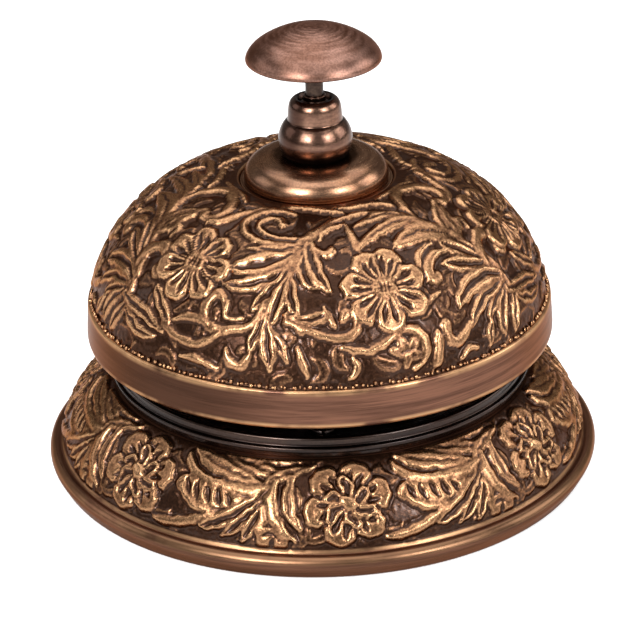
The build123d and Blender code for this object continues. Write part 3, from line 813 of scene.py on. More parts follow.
def makeDome():
    size = domeRelief
    climbs = [
        *np.arange(0, size["change"], size["fineRow"]),
        *np.arange(size["change"], shoulder["climb"] - 0.1, size["coarseRow"]), shoulder["climb"],
    ]
    counts = [size["fineGaps"] if c < size["change"] else size["coarseGaps"] for c in climbs]
    strip = makeStrip(360 / size["repeats"], climbs, counts, lambda c: shoulderAt(c)[0], -45.0)
    strip["warpX"] = 0.10 * ripple(strip, 3.0, 5)
    strip["warpY"] = 0.10 * ripple(strip, 3.0, 6)
    undergrowth(strip, 110, 41, (1.5, 39.5))
    leaf = {"hollow": 0.9, "rim": 0.6}
    # long stems and scrolls near the crown
    for line in (
        [(-6, 29.6, 0.9), (0, 31.8, 0.8), (6, 34, 0.7), (13, 35.4, 0.6), (22, 36, 0.6), (30, 35.4, 0.5)],
        [
            (44.5, 29.5, 0.4), (45, 33, 0.7), (48, 36.3, 0.9), (53, 38.2, 1.0), (60, 38.3, 1.0),
            (68, 36.8, 1.0), (72, 34, 0.9), (70.5, 31.2, 0.8), (66, 30.2, 0.8), (62.5, 31.4, 0.9),
        ],
        [
            (-5, 28.9, 0.5), (-14, 28.2, 0.6), (-24, 28.6, 0.65), (-31, 30.3, 0.65), (-34, 33, 0.7),
            (-32, 35.8, 0.75), (-27, 37.3, 0.8), (-20, 37.8, 0.7), (-12, 37.0, 0.5),
        ],
        [
            (-6, 30.0, 0.35), (-15, 29.9, 0.4), (-22, 30.6, 0.4), (-27, 32.4, 0.4), (-25, 34.6, 0.5),
            (-19, 34.9, 0.6), (-16, 33.2, 0.7),
        ],
        [(-50, 30, 0.6), (-45, 31, 0.7), (-41, 33.5, 0.8), (-36, 35.8, 0.7), (-30, 38.0, 0.4)],
        [(0.3, 29.6, 0.3), (2, 31.2, 0.45), (6, 32.6, 0.5), (12.5, 33.6, 0.35)],
        [(12.5, 33.3, 0.35), (13.2, 30.5, 0.6), (14, 27.8, 0.6), (14.4, 25.6, 0.3)],
        [(-22, 38.6, 0.3), (-14, 39.6, 0.6), (-4, 39.5, 0.7), (6, 38.3, 0.6), (14, 37.2, 0.3)],
        [(10, 39.5, 0.3), (20, 38.6, 0.6), (30, 38.4, 0.7), (38, 37.2, 0.6), (42, 35.4, 0.3)],
        [(40, 39.4, 0.3), (48, 39.6, 0.5), (56, 40.0, 0.5), (66, 39.6, 0.5), (74, 38.0, 0.3)],
    ):
        paint(strip, line, 0.78)
    # long leaves that sweep from one spray to the next
    for line, options in (
        ([(42, 32, 0.4), (36, 33.6, 0.9), (29, 34, 0.9), (22, 33.3, 0.7), (16, 32.3, 0.3)], {"vein": 0.5}),
        (
            [
                (46, 29.3, 0.6), (40, 30.8, 1.1), (33, 31.1, 1.2), (26, 30.2, 1.1), (20, 28.9, 0.8),
                (16, 27.5, 0.6), (14.2, 26, 0.25),
            ],
            {"vein": 0.5},
        ),
        (
            [
                (53, 22, 0.7), (48, 25.3, 1.7), (42, 27.3, 2.0), (35, 27.0, 1.4), (30, 26.3, 0.9),
                (27.3, 25.3, 0.25),
            ],
            {"vein": 0.65},
        ),
        (
            [(51.5, 23, 0.5), (52, 26, 0.9), (54.5, 28.6, 1.0), (58.5, 30.4, 0.8), (62.5, 32.3, 0.4)],
            {"vein": 0.4},
        ),
        ([(54, 22.5, 0.6), (56, 25, 1.0), (57.5, 27.5, 0.9), (61, 29.5, 0.5)], {"vein": 0.4}),
        ([(58, 24, 0.4), (59.3, 26, 0.6), (61.3, 25.3, 0.6), (61, 23.4, 0.5)], {}),
    ):
        paint(strip, line, 0.8, **options)
    # first spray: a rib from the upper hub, with hollow lobes along it
    paint(strip, [(-4, 29.8, 0.8), (-7, 27, 1.5), (-9.5, 23.5, 1.4), (-11, 20, 0.8)], 0.8)
    for line in (
        [(-6, 28.2, 0.5), (-12, 27.2, 0.7), (-19, 26.8, 0.7), (-26, 26.6, 0.3)],
        [(-9, 26.0, 0.5), (-14, 24.8, 1.3), (-19, 23.5, 1.9), (-24.5, 22.4, 1.5), (-28.3, 21.5, 0.3)],
        [(-10, 23, 0.5), (-15, 20.6, 1.0), (-21, 19, 1.2), (-26, 18.4, 0.9), (-29.8, 18.6, 0.25)],
        [(-10, 22.5, 0.4), (-13.5, 19, 1.0), (-16.5, 16.2, 1.1), (-18.8, 14.4, 0.3)],
        [(-9, 22, 0.4), (-8.8, 18.5, 1.0), (-7.5, 15.5, 1.0), (-5.8, 13.9, 0.3)],
        [(-9.5, 21.5, 0.4), (-11.5, 17.5, 1.1), (-13, 14, 1.2), (-13.8, 10.8, 0.3)],
        [(-6, 27, 0.4), (-5.5, 24, 0.9), (-4.5, 21.5, 1.0), (-2.5, 19.8, 0.8), (0.5, 19, 0.25)],
        [(-4.5, 28.5, 0.5), (-2.8, 25.5, 1.1), (-1.2, 22.5, 1.2), (1, 20, 0.9), (3.2, 18.2, 0.25)],
    ):
        paint(strip, line, 0.82, **leaf)
    paint(
        strip,
        [(-2.5, 29, 0.4), (-1, 27.2, 0.55), (1.5, 26.3, 0.65), (3.5, 26.2, 0.8), (4.6, 26.9, 0.85)], 0.8,
    )
    # the scroll and small leaves under the first spray
    for line in (
        [
            (-26.5, 13.8, 0.45), (-28, 15.8, 0.65), (-30.3, 16.2, 0.75), (-32.3, 13.8, 0.8),
            (-31.3, 11, 0.8), (-27.5, 9.6, 0.75), (-23, 10.2, 0.7), (-19, 11, 0.65), (-16.6, 13, 0.65),
            (-15.5, 15, 0.6),
        ],
        [(-26, 15, 0.3), (-26.2, 13, 0.4), (-24.3, 11.9, 0.4), (-21, 12.3, 0.35)],
        [(-24.3, 6.5, 0.4), (-23.3, 4.5, 0.7), (-20.5, 3.6, 0.8), (-18.5, 5, 0.75), (-17.5, 6.4, 0.3)],
        [(-9.2, 13.8, 0.5), (-7, 12, 0.6), (-4.5, 10.3, 0.3)],
        [
            (-9, 12.6, 0.5), (-4, 11.2, 0.6), (1, 9.9, 0.65), (6, 9.3, 0.7), (9.4, 10.9, 0.75),
            (9.3, 13.2, 0.8), (7, 13.9, 0.7), (5.8, 12.7, 0.6),
        ],
        [(1, 15.2, 0.3), (2, 13.6, 0.6), (3.2, 12, 0.5), (4, 11.2, 0.2)],
        [
            (-43.2, 8.1, 0.85), (-41, 7.1, 0.65), (-37, 6.4, 0.7), (-33, 6.2, 0.7), (-29, 7.4, 0.6),
            (-26.5, 8.8, 0.4),
        ],
        [(-41, 9.4, 0.3), (-37.5, 10.6, 0.65), (-34, 11, 0.75), (-30.5, 10.4, 0.5)],
        [(-36.5, 3.2, 0.3), (-33, 3.6, 0.6), (-29, 3.2, 0.5), (-26, 2.4, 0.3)],
        [(-3.5, 2.2, 0.3), (-4.5, 4.6, 0.6), (-5.8, 7.6, 0.4)],
        [(7, 2, 0.4), (8.6, 3.8, 0.6), (7.8, 5.8, 0.35)],
    ):
        paint(strip, line, 0.72)
    for line in (
        [(-14, 12.5, 0.35), (-12.5, 10.2, 0.7), (-10.5, 8, 0.8), (-8.4, 5.2, 0.3)],
        [(-15, 13.5, 0.35), (-16, 11, 0.8), (-17.3, 8.6, 0.95), (-18.3, 6.6, 0.3)],
        [(-14.5, 13, 0.4), (-14, 10, 1.0), (-13.2, 7.0, 1.3), (-12.6, 3.6, 0.4)],
        [(-7.5, 13.3, 0.3), (-3, 12.9, 0.95), (0.3, 13.4, 0.85), (1.4, 14.4, 0.2)],
    ):
        paint(strip, line, 0.75, **leaf)
    # second spray, round the hub at the right
    paint(
        strip,
        [
            (52, 24, 0.7), (55, 19.5, 1.0), (57.5, 15, 1.2), (58.5, 12, 1.1), (59.3, 9.5, 0.9),
            (61, 7, 0.6),
        ],
        0.75,
    )
    for line in (
        [(56, 17.5, 0.4), (54.3, 19.6, 0.9), (52.0, 22.2, 0.4)],
        [(54.5, 17.5, 0.5), (50.5, 20, 1.2), (47, 22.2, 1.2), (44.4, 23.6, 0.3)],
        [(55.5, 16.2, 0.5), (51, 17, 1.2), (46, 18.2, 1.35), (42.5, 19.2, 0.8), (40.6, 19.5, 0.25)],
        [(57.5, 10.3, 0.5), (53, 9.4, 0.85), (49.5, 8, 0.85), (47.2, 6.0, 0.3)],
        [(58, 11.3, 0.5), (53, 11.4, 0.95), (48, 10.6, 1.05), (44, 8.8, 0.95), (40.5, 6.4, 0.3)],
        [
            (58.3, 12.8, 0.6), (55, 13.8, 1.2), (50, 14.2, 1.5), (45, 13.6, 1.5), (41, 12.2, 1.0),
            (39.4, 11.0, 0.4),
        ],
        [(60, 8.5, 0.5), (58.5, 5.8, 1.1), (57, 3.6, 1.0), (56, 1.6, 0.3)],
        [(57, 9.6, 0.5), (53.5, 7.5, 1.1), (51.8, 4.8, 1.1), (51.6, 2.2, 0.3)],
        [(45.5, 1.8, 0.3), (46.3, 4, 0.8), (47.8, 6, 0.3)],
        [(58.5, 9.6, 0.7), (63, 8.9, 1.1), (68, 8.6, 1.1), (72, 7.6, 0.9), (77, 6.4, 0.25)],
        [(61, 7.4, 0.5), (65, 5.8, 1.0), (69, 4.8, 0.9), (74, 5.0, 0.3)],
        [(69.5, 13.8, 0.5), (72, 12.3, 1.0), (75, 10.3, 1.0), (78, 8.8, 0.4)],
    ):
        paint(strip, line, 0.82, **leaf)
    for line in (
        [(41, 24.2, 0.3), (36, 23.5, 0.5), (32.8, 21.4, 0.55), (31.5, 18.4, 0.4)],
        [
            (46, 21.6, 0.3), (41.5, 21.9, 0.6), (37.3, 21.3, 0.8), (34.6, 19.3, 0.85), (34.9, 17.3, 0.8),
            (36.6, 17.6, 0.85),
        ],
        [(40.5, 7.4, 0.4), (38, 5.6, 0.8), (35.2, 4.8, 0.9), (33.2, 6.3, 0.9), (33.4, 8.4, 0.95)],
        [
            (56, 16, 0.6), (56.8, 18.7, 1.0), (59.5, 20.6, 1.1), (63.5, 21.2, 1.15), (67.3, 19.8, 1.1),
            (68.6, 17.4, 0.95), (66.8, 15.8, 0.8), (64.8, 16.8, 0.75),
        ],
        [(25.5, 11.8, 0.4), (28.5, 12.5, 0.5), (31.5, 13.9, 0.4), (35, 14.6, 0.3)],
        [(29, 2.2, 0.8), (30.2, 5, 0.8), (30.5, 8, 0.4)],
        [(36, 1.8, 0.4), (38.5, 2.8, 0.6), (41.5, 2.4, 0.3)],
    ):
        paint(strip, line, 0.78)
    # the half flower at the rim, in the crook of its stem
    for line in (
        [(18.2, 6, 0.7), (19.8, 5.4, 0.9)],
        [(20, 7.6, 0.7), (21.4, 6.6, 0.8)],
        [(23.8, 7.2, 0.8), (22.8, 5.8, 0.8)],
        [(24.4, 4.4, 0.7), (22.6, 4.6, 0.8)],
        [(21, 3.0, 0.7), (21.2, 4.4, 0.8)],
    ):
        paint(strip, line, 0.7, hollow=0.3)
    paint(
        strip,
        [
            (5.2, 7.6, 0.35), (8.5, 6.9, 0.6), (12.5, 6.7, 0.6), (16, 7.6, 0.65), (19, 9, 0.65),
            (22.5, 9.7, 0.75), (25.6, 8.3, 0.85), (26.6, 5.6, 0.85), (25.4, 3.2, 0.6), (23, 2.0, 0.4),
        ],
        0.8,
    )
    flower(strip, (-42, 21.0), 8.0, 7, 3, seed=3)
    flower(strip, (19, 17.9), 8.3, 7, 12, seed=8)
    # the casting's pitted ground, rougher low down
    low = 1 - smoothStep(0.8, 5.0, strip["climb"])
    flat = 1 - smoothStep(0.1, 0.5, strip["height"])
    strip["height"] += flat * (0.03 + 0.04 * low) * ripple(strip, 1.0, 11) + 0.01 * ripple(strip, 1.4, 12)
    fade = 1 - smoothStep(shoulder["climb"] - 1.6, shoulder["climb"] - 0.3, strip["climb"])
    strip["height"] *= smoothStep(0.0, 0.5, strip["climb"]) * fade
    wall = shoulder["wall"]
    # a fourth value is how much rubbed wear and painted highlight line a row carries
    outline = [
        (15.4, 59.53, 160, 0.5), (15.2, 59.38, 160, 1), (15.08, 59.15, 80, 0.5),
        (shoulder["seatRadius"], shoulder["seat"], 80),
        (postHole, shoulder["seat"], 40),
        (postHole, shoulder["seat"] - wall, 40),
        (13.0, shoulder["seat"] - wall, 40),
    ]
    outline += [(r, z, 40) for r, z in arcPoints(shoulder["centre"], shoulder["radius"] - wall, 90, 12, 26)]
    outline += [
        (43.2, 33.3, 40), (43.2, 30.0, 40), (43.2, 27.8, 80), (43.4, 27.45, 80), (43.7, 27.4, 80),
        (45.2, 27.4, 80),
        (45.7, 27.52, 160, 0.3), (46.05, 27.85, 160, 1), (46.18, 28.3, 160, 0.7), (46.2, 28.8, 160),
        (46.1, 30.5, 160), (45.98, 32.4, 160),
        (45.88, 34.0, 160), (45.84, 34.5, 160, 0.4), (45.78, 34.85, 160, 1), (45.6, 35.1, 160, 1),
        (45.35, 35.2, 160, 0.6), (45.05, 35.18, 320, 0.2),
    ]
    sector = reliefSector("bellSector", strip, shoulderAt, outline)
    ring = plainResult(
        sector, copiesAroundAxis,
        {"Copies": size["repeats"], "Join Distance": joinDistance, "Finish": domeFinish}, "bellDome",
    )
    return turnOutwards(ring)


# The skirt's shoulder is an arc too, between two angles above the level.
skirt = {"centre": (31.84, 0.881), "radius": 20.899, "start": 13.05, "last": 61.227}
skirt["climb"] = skirt["radius"] * math.radians(skirt["last"] - skirt["start"])
skirtAt = arcSurface(skirt)
skirtRelief = {"repeats": 7, "gaps": 168, "row": 0.31, "flowerTurn": 5.0}


def makeSkirt():
    size = skirtRelief
    climbs = [*np.arange(0, skirt["climb"] - 0.1, size["row"]), skirt["climb"]]
    period = 360 / size["repeats"]
    strip = makeStrip(period, climbs, [size["gaps"]] * len(climbs), lambda c: skirtAt(c)[0], -20.0)
    strip["warpX"] = 0.12 * ripple(strip, 2.6, 21)
    strip["warpY"] = 0.12 * ripple(strip, 2.6, 22)
    undergrowth(strip, 26, 43, (1.5, 16.5))
    at = size["flowerTurn"]

    def put(points):
        return [(at + t, c, w) for t, c, w in points]

    # the panel of slanted notches, and the ridges above and below it
    paint(
        strip, put([(13, 16.6, 0.6), (17, 15.2, 1.3), (22, 14, 1.5), (27, 12.8, 1.2), (32, 11.8, 0.5)]),
        0.75, vein=0.5,
    )
    paint(strip, put([(22, 16.9, 0.5), (27, 15.8, 1.0), (33, 14.4, 1.2), (38, 13.2, 0.6)]), 0.7, vein=0.5)
    paint(strip, put([(24, 17.0, 0.5), (32, 16.7, 0.6), (40, 16.7, 0.5)]), 0.7)
    paint(strip, put([(33, 12.2, 0.6), (36, 13.6, 1.0), (40, 14.8, 0.9), (44, 15.6, 0.4)]), 0.72, vein=0.4)
    paint(
        strip, put([(13.5, 9.4, 1.5), (17, 8.8, 2.0), (22, 8.2, 1.9), (27, 7.6, 1.7), (32, 7.6, 1.6)]),
        0.68, crown=0.6,
    )
    for k, t in enumerate((14.6, 17.1, 19.8, 22.5, 25.0)):
        tall = 1.55 - 0.17 * k
        cut(
            strip,
            put(
                [
                    (t - 0.5, 8.8 - 0.18 * k + tall, 0.2), (t, 8.7 - 0.18 * k, 0.46),
                    (t + 0.5, 8.6 - 0.18 * k - tall, 0.15),
                ],
            ),
            0.62,
        )
    paint(
        strip,
        put(
            [
                (11.8, 15.2, 0.5), (13.8, 12.9, 0.8), (18, 11.4, 0.75), (25, 10.5, 0.75), (31, 10.3, 0.9),
                (35, 11.2, 0.6),
            ],
        ),
        0.82,
    )
    paint(strip, put([(13.2, 8.6, 0.6), (15.3, 6.7, 0.65), (19, 5.5, 0.65), (24, 5.2, 0.4)]), 0.78)
    paint(
        strip, put([(8, 1.4, 0.5), (12.5, 1.8, 0.75), (17, 3, 0.8), (21, 4.4, 0.65), (26, 5.5, 0.5)]),
        0.8,
    )
    # the fan of leaves
    for line in (
        [(33, 9.6, 0.6), (29, 7, 1.0), (25.5, 4.9, 1.1), (21.5, 3.1, 0.9), (19.0, 2.3, 0.25)],
        [(33.5, 9.2, 0.5), (30.2, 6.0, 0.9), (27.2, 3.4, 1.0), (24.4, 1.2, 0.3)],
        [(34, 9, 0.5), (31.8, 5.8, 0.8), (30.2, 3.2, 0.95), (29, 0.8, 0.3)],
    ):
        paint(strip, put(line), 0.85, hollow=0.9)
    paint(
        strip, put([(34.2, 9.8, 0.8), (34.6, 6.6, 1.5), (35.0, 3.2, 2.2), (35.2, 1.8, 2.3)]), 0.66,
        crown=0.6,
    )
    for k, c in enumerate((7.6, 6.0, 4.4, 2.7)):
        wide = 0.5 + 0.3 * k
        cut(
            strip, put([(34.8 - wide, c - 0.35, 0.12), (34.8, c, 0.34), (34.8 + wide, c - 0.35, 0.12)]),
            0.5,
        )
    cut(strip, put([(35.6, 1.9, 0.15), (35.2, 0.9, 0.6)]), 0.5)
    # crescents beside the flower
    left = at + period  # they stand left of the next flower
    paint(
        strip,
        [
            (left - 16.2, 12.6, 0.4), (left - 17.0, 9, 0.8), (left - 16.2, 6, 0.85),
            (left - 13.8, 3, 0.8), (left - 11.4, 1.4, 0.3),
        ],
        0.8,
    )
    paint(
        strip,
        [
            (left - 12.8, 13.4, 0.4), (left - 13.2, 9.6, 0.95), (left - 12.5, 6.4, 0.9),
            (left - 10.4, 3.8, 0.3),
        ],
        0.8, hollow=0.4,
    )
    flower(strip, (at, 8.4), 8.1, 6, 12, rise=0.75, seed=14, stamp=False)
    # the ruffled inner petals
    for angle, far in ((25, 4.6), (95, 5.2), (160, 4.4), (215, 5.0), (285, 4.6), (335, 5.2)):
        bends = (1.2, angle, 0.5), (0.6 * far, angle - 8, 1.0), (far - 0.8, angle + 6, 0.9)
        petal = [(*polar(strip, (at, 8.4), out, turned), wide) for out, turned, wide in bends]
        paint(strip, petal, 0.95, hollow=0.8, rim=0.4, moat=0.3)
    paint(strip, [(at - 0.7, 8.9, 0.8), (at + 0.8, 8.1, 0.9)], 1.0)
    flat = 1 - smoothStep(0.1, 0.5, strip["height"])
    strip["height"] += flat * 0.03 * ripple(strip, 1.0, 31) + 0.01 * ripple(strip, 1.4, 32)
    strip["height"] *= smoothStep(0.0, 0.45, strip["climb"]) * (
        1 - smoothStep(skirt["climb"] - 0.9, skirt["climb"] - 0.1, strip["climb"])
    )
    bead = {"centre": (53.4, 3.3), "radius": 1.6}
    outline = [(41.6, 19.2, 84), (40.0, 19.2, 42), (34.5, 19.2, 42), (34.5, 16.2, 42), (39.5, 16.2, 42)]
    outline += [
        (40.6, 15.7, 42), (42.4, 14.6, 42), (44.2, 13.1, 42), (45.7, 11.4, 42), (47.2, 8.9, 42),
        (48.2, 6.0, 42), (48.9, 2.4, 42), (49.0, 2.2, 42),
    ]
    outline += [
        (51.0, 2.2, 42), (51.0, 0.35, 42), (51.1, 0.3, 42), (53.2, 0.3, 84), (53.55, 0.36, 84),
        (53.8, 0.7, 84), (54.3, 1.6, 84),
    ]
    # the bead's top and the ridge by the groove carry rubbed wear and a painted highlight line
    for k, (r, z) in enumerate(arcPoints(bead["centre"], bead["radius"], -38, 92, 14)):
        outline.append((r, z, 84, 0.25 if 6 <= k <= 11 else 0.0))
    outline += [(52.95, 4.75, 84), (52.75, 4.72, 84), (52.62, 4.85, 84, 0.3), (52.5, 5.2, 168, 0.8)]
    sector = reliefSector("baseSector", strip, skirtAt, outline)
    ring = plainResult(
        sector, copiesAroundAxis,
        {"Copies": size["repeats"], "Join Distance": joinDistance, "Finish": flangeFinish}, "baseSkirt",
    )
    return turnOutwards(ring)


takeOver(makeDome(), "base", "bell_dome")
takeOver(makeSkirt(), "base", "base_flange")


def grainsTree():
    # rough little grains on a circle, each of its own size, half sunk in the casting; depths in metres
    tree, given, made = newTree(
        "Geometry", "grainsOnCircle",
        {
            "Count": "Int", "Radius": "Float", "Height": "Float", "Size": "Float", "Seed": "Int",
            "Finish": "Material",
        },
        {"Grains": "Geometry"},
    )

    def chance(low, high, offset):
        feeds = {2: low, 3: high, "Seed": mathNode(tree, "ADD", given["Seed"], offset)}
        return newNode(tree, "FunctionNodeRandomValue", feeds, data_type="FLOAT").outputs[1]

    index = newNode(tree, "GeometryNodeInputIndex").outputs[0]
    place = mathNode(tree, "ADD", index, chance(-0.45, 0.45, 0))
    angle = mathNode(tree, "DIVIDE", mathNode(tree, "MULTIPLY", place, fullTurn), given["Count"])
    radius = mathNode(tree, "ADD", given["Radius"], chance(-0.00012, 0.00006, 1))
    at = combined(
        tree, X=mathNode(tree, "MULTIPLY", mathNode(tree, "COSINE", angle), radius),
        Y=mathNode(tree, "MULTIPLY", mathNode(tree, "SINE", angle), radius),
        Z=mathNode(tree, "ADD", given["Height"], chance(-0.00018, 0.00022, 2)),
    )
    points = newNode(tree, "GeometryNodePoints", {"Count": given["Count"], "Position": at})
    ball = newNode(tree, "GeometryNodeMeshIcoSphere", {"Subdivisions": 2, "Radius": given["Size"]})
    size = combined(tree, X=chance(0.55, 1.35, 3), Y=chance(0.55, 1.35, 4), Z=chance(0.55, 1.35, 5))
    feeds = {"Points": points, "Instance": ball, "Scale": size}
    copies = newNode(tree, "GeometryNodeInstanceOnPoints", feeds)
    feeds = {"Name": "relief", "Geometry": copies, "Value": chance(0.5, 1.5, 6)}
    tone = newNode(tree, "GeometryNodeStoreNamedAttribute", feeds, domain="INSTANCE")
    real = newNode(tree, "GeometryNodeRealizeInstances", {0: tone})
    smooth = newNode(tree, "GeometryNodeSetShadeSmooth", {"Geometry": real})
    finish = newNode(tree, "GeometryNodeSetMaterial", {"Geometry": smooth, "Material": given["Finish"]})
    feed(tree, made["Grains"], finish)
    return tree


grains = plainResult(
    objectFrom("grainSeed", [(0, 0, 0)], []), grainsTree(),
    {"Count": 300, "Radius": 0.0451, "Height": 0.0356, "Size": 0.00036, "Seed": 4, "Finish": domeFinish},
    "rimGrains",
)
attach(grains, "base")
print("grains:", len(grains.data.polygons), "faces")


def latheNode(name, outline, finish, body, node, around=192):
    piece = lathe(name, outline, around)
    piece.data.materials.append(finish)
    takeOver(piece, body, node)


collar = {
    "inner": 34.5, "foot": 41.3, "bead": 41.8, "ring": 40.9, "seat": 39.4, "low": 19.2, "top": 23.0,
    "step": 20.8,
}
latheNode(
    "collarRing",
    rounded([
        (collar["inner"], collar["low"], 0.1), (collar["foot"], collar["low"], 0.1),
        (collar["foot"], 20.15, 0.15),
        (collar["bead"], 20.25, 0.3), (collar["bead"], 21.15, 0.3), (collar["ring"] + 0.15, 21.3, 0.2),
        (collar["ring"], 21.7, 0.3), (collar["ring"], collar["top"], 0.6),
        (collar["seat"], collar["top"], 0.12),
        (collar["seat"], collar["step"], 0.05), (collar["inner"], collar["step"], 0.1),
    ]),
    blackenedRing, "base", "base_collar", 256,
)

# "curve" is the corner of the cap's quarter ellipse, "out" and "rise" its two half widths
capRing = {"radius": 14.9, "foot": 58.8, "top": 59.1}
cap = {"foot": 59.1, "edge": 14.05, "curve": (7.6, 59.6), "out": 6.5, "rise": 4.6, "dish": 6.0, "top": 64.2}
latheNode(
    "capStep",
    rounded([
        (postHole, capRing["foot"], 0.05), (capRing["radius"], capRing["foot"], 0.08),
        (capRing["radius"], capRing["top"], 0.12), (postHole, capRing["top"], 0.05),
    ]),
    capBronze, "base", "cap_ring",
)


def capOutline():
    # a flat foot, a quarter ellipse, and a shallow dish where the nut sits
    foot, edge, top = cap["foot"], cap["edge"], cap["top"]
    curve = []
    for angle in np.linspace(0, math.pi / 2, 26):
        r = cap["curve"][0] + cap["out"] * math.cos(angle) ** 0.84
        curve.append((r, cap["curve"][1] + cap["rise"] * math.sin(angle) ** 0.88))
    return [
        (postHole, foot), (edge - 0.45, foot), (edge - 0.15, foot + 0.06), (edge, foot + 0.25), *curve,
        (cap["dish"] + 1.2, top - 0.01), (cap["dish"], top), (postHole, top),
    ]


latheNode("domeCap", capOutline(), capBronze, "base", "cap", 224)


def smoothOutline(knots, step=0.25):
    # a smooth curve through (radius, height) knots
    line = through([(r, z, 1) for r, z in knots], step)
    return [(r, z) for r, z, _ in line]


# (radius, height) knots of the nut's two tiers and of the button's parts
nut = {
    "bore": 3.02, "foot": 64.2, "seat": 74.4,
    "lower": (
        (6.4, 64.24), (6.55, 64.6), (6.9, 65.4), (7.15, 66.5), (7.2, 67.7), (7.0, 68.9), (6.55, 70.0),
        (6.05, 70.75),
        (5.7, 71.1), (5.45, 71.3),
    ),
    "upper": (
        (5.36, 71.4), (5.3, 71.7), (5.25, 72.6), (5.16, 73.7), (4.98, 74.6), (4.6, 75.3), (4.1, 75.7),
        (3.7, 75.8),
    ),
    "mouth": ((3.5, 75.78), (3.4, 75.7), (3.3, 74.45)),
}
bush = {"bore": 1.8, "flange": 3.1, "neck": 2.2, "foot": 74.0, "top": 76.4}
button = {
    "top": 90.3, "crown": (10.6, 87.1), "ringDepth": 0.012, "ringGap": 0.85,
    "side": ((11.3, 86.6), (11.9, 86.08), (12.4, 85.5), (12.8, 84.9), (13.0, 84.5)),
    "rim": (
        (13.1, 84.15), (13.15, 83.9), (13.1, 83.65), (12.95, 83.53), (12.75, 83.5), (12.3, 83.5),
        (12.1, 83.56),
    ),
    "hollow": (
        (11.75, 84.2), (11.1, 85.0), (10.3, 85.7), (9.2, 86.4), (7.8, 87.2), (6.0, 87.9), (4.4, 88.35),
        (4.0, 88.4),
        (3.5, 88.1),
    ),
    "boss": ((3.25, 87.6), (3.2, 87.2), (3.2, 84.0), (3.2, 81.5), (3.1, 81.25), (2.9, 81.2), (0, 81.2)),
}
latheNode(
    "barrelNut",
    [
        (nut["bore"], nut["foot"]), (6.3, nut["foot"]), *smoothOutline(nut["lower"]),
        *smoothOutline(nut["upper"]), *nut["mouth"], (3.28, nut["seat"]), (nut["bore"], nut["seat"]),
    ],
    polishedBronze, "base", "barrel_nut",
)
latheNode(
    "guideBush",
    rounded([
        (bush["bore"], bush["foot"], 0.02), (bush["flange"], bush["foot"], 0.05),
        (bush["flange"], 75.0, 0.12),
        (bush["neck"], 75.3, 0.1), (bush["neck"], bush["top"], 0.15), (bush["bore"], bush["top"], 0.05),
    ]),
    polishedBronze, "base", "guide_bush", 96,
)


def buttonOutline():
    # the spun crown with its faint rings, the side, the rolled edge, the hollow underside and the boss
    top, (edge, level) = button["top"], button["crown"]
    ball = (edge**2 + (top - level) ** 2) / (2 * (top - level))
    out = [(0, top)]
    for r in np.arange(0.15, edge, 0.15):
        z = top - ball + math.sqrt(ball**2 - r**2)
        out.append((r, z + button["ringDepth"] * math.sin(r * fullTurn / button["ringGap"])))
    return [*out, button["crown"], *button["side"], *button["rim"], *button["hollow"], *button["boss"]]


latheNode("pushButton", buttonOutline(), spunCopper, "plunger", "button", 224)
print("turned pieces made")

# The return spring stands on the fixed post; here it is one rigid coil that moves with the plunger. "wire"
# is a radius.
coil = {"turns": 8.5, "wire": 0.25, "pointsPerTurn": 40, "sides": 12}


def coiledWireTree():
    tree, given, made = newTree(
        "Geometry", "coiledWire",
        {
            "Turns": "Float", "Radius": "Float", "Height": "Float", "Foot": "Float", "Wire": "Float",
            "Finish": "Material",
        },
        {"Coil": "Geometry"},
    )
    feeds = {
        "Resolution": coil["pointsPerTurn"], "Rotations": given["Turns"], "Height": given["Height"],
        "Start Radius": given["Radius"], "End Radius": given["Radius"],
    }
    spiral = newNode(tree, "GeometryNodeCurveSpiral", feeds)
    feeds = {"Geometry": spiral, "Translation": combined(tree, Z=given["Foot"])}
    raised = newNode(tree, "GeometryNodeTransform", feeds)
    feeds = {"Resolution": coil["sides"], "Radius": given["Wire"]}
    ring = newNode(tree, "GeometryNodeCurvePrimitiveCircle", feeds)
    feeds = {"Fill Caps": True, "Curve": raised, "Profile Curve": ring}
    wire = newNode(tree, "GeometryNodeCurveToMesh", feeds)
    real = newNode(tree, "GeometryNodeRealizeInstances", {0: wire})
    finish = newNode(tree, "GeometryNodeSetMaterial", {"Geometry": real, "Material": given["Finish"]})
    feed(tree, made["Coil"], finish)
    return tree


def makeSpring():
    outer, foot, top = reach("return_spring")
    spring = plainResult(
        objectFrom("springSeed", [(0, 0, 0)], []), coiledWireTree(),
        {
            "Turns": coil["turns"], "Radius": (outer - coil["wire"]) * mm, "Wire": coil["wire"] * mm,
            "Foot": (foot + coil["wire"]) * mm, "Height": (top - foot - 2 * coil["wire"]) * mm,
            "Finish": springSteel,
        },
        "returnSpring",
    )
    turnOutwards(spring)
    takeOver(spring, "plunger", "return_spring")
    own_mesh(spring)


makeSpring()

# the CAD's own meshes, with their finishes
finishes = {
    "deck_plate": blackenedRing, "deck_screws": blackenedRing, "bottom_plate": brightSteel,
    "center_post": brightSteel, "pivot_bracket": brightSteel,
    "foot_screws": zincPlate, "post_nut": zincPlate, "post_washer": zincPlate,
    "bracket_screw": zincPlate, "pivot_pin": zincPlate, "spring_washer": zincPlate,
    "pin_clip": springSteel, "rod_clip": springSteel, "striker_arm": springSteel,
    "striker_head": strikerBrass, "striker_rivet": strikerBrass,
    "plunger_rod": darkRod, "seat_washer": redFibre, "felt_pad": blackFelt,
}
for node, finish in finishes.items():
    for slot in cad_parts[node].material_slots:
        slot.material = finish
print("finishes on", len(finishes), "CAD nodes")

# The studio's sizes and places are in metres. "seen" and "around" are how bright the white around it is,
# for the camera and as a light.
studio = {"floorHalf": 2.0, "floorColor": (0.8, 0.8, 0.8), "floorGlow": 0.5, "seen": 1.0, "around": 0.22}


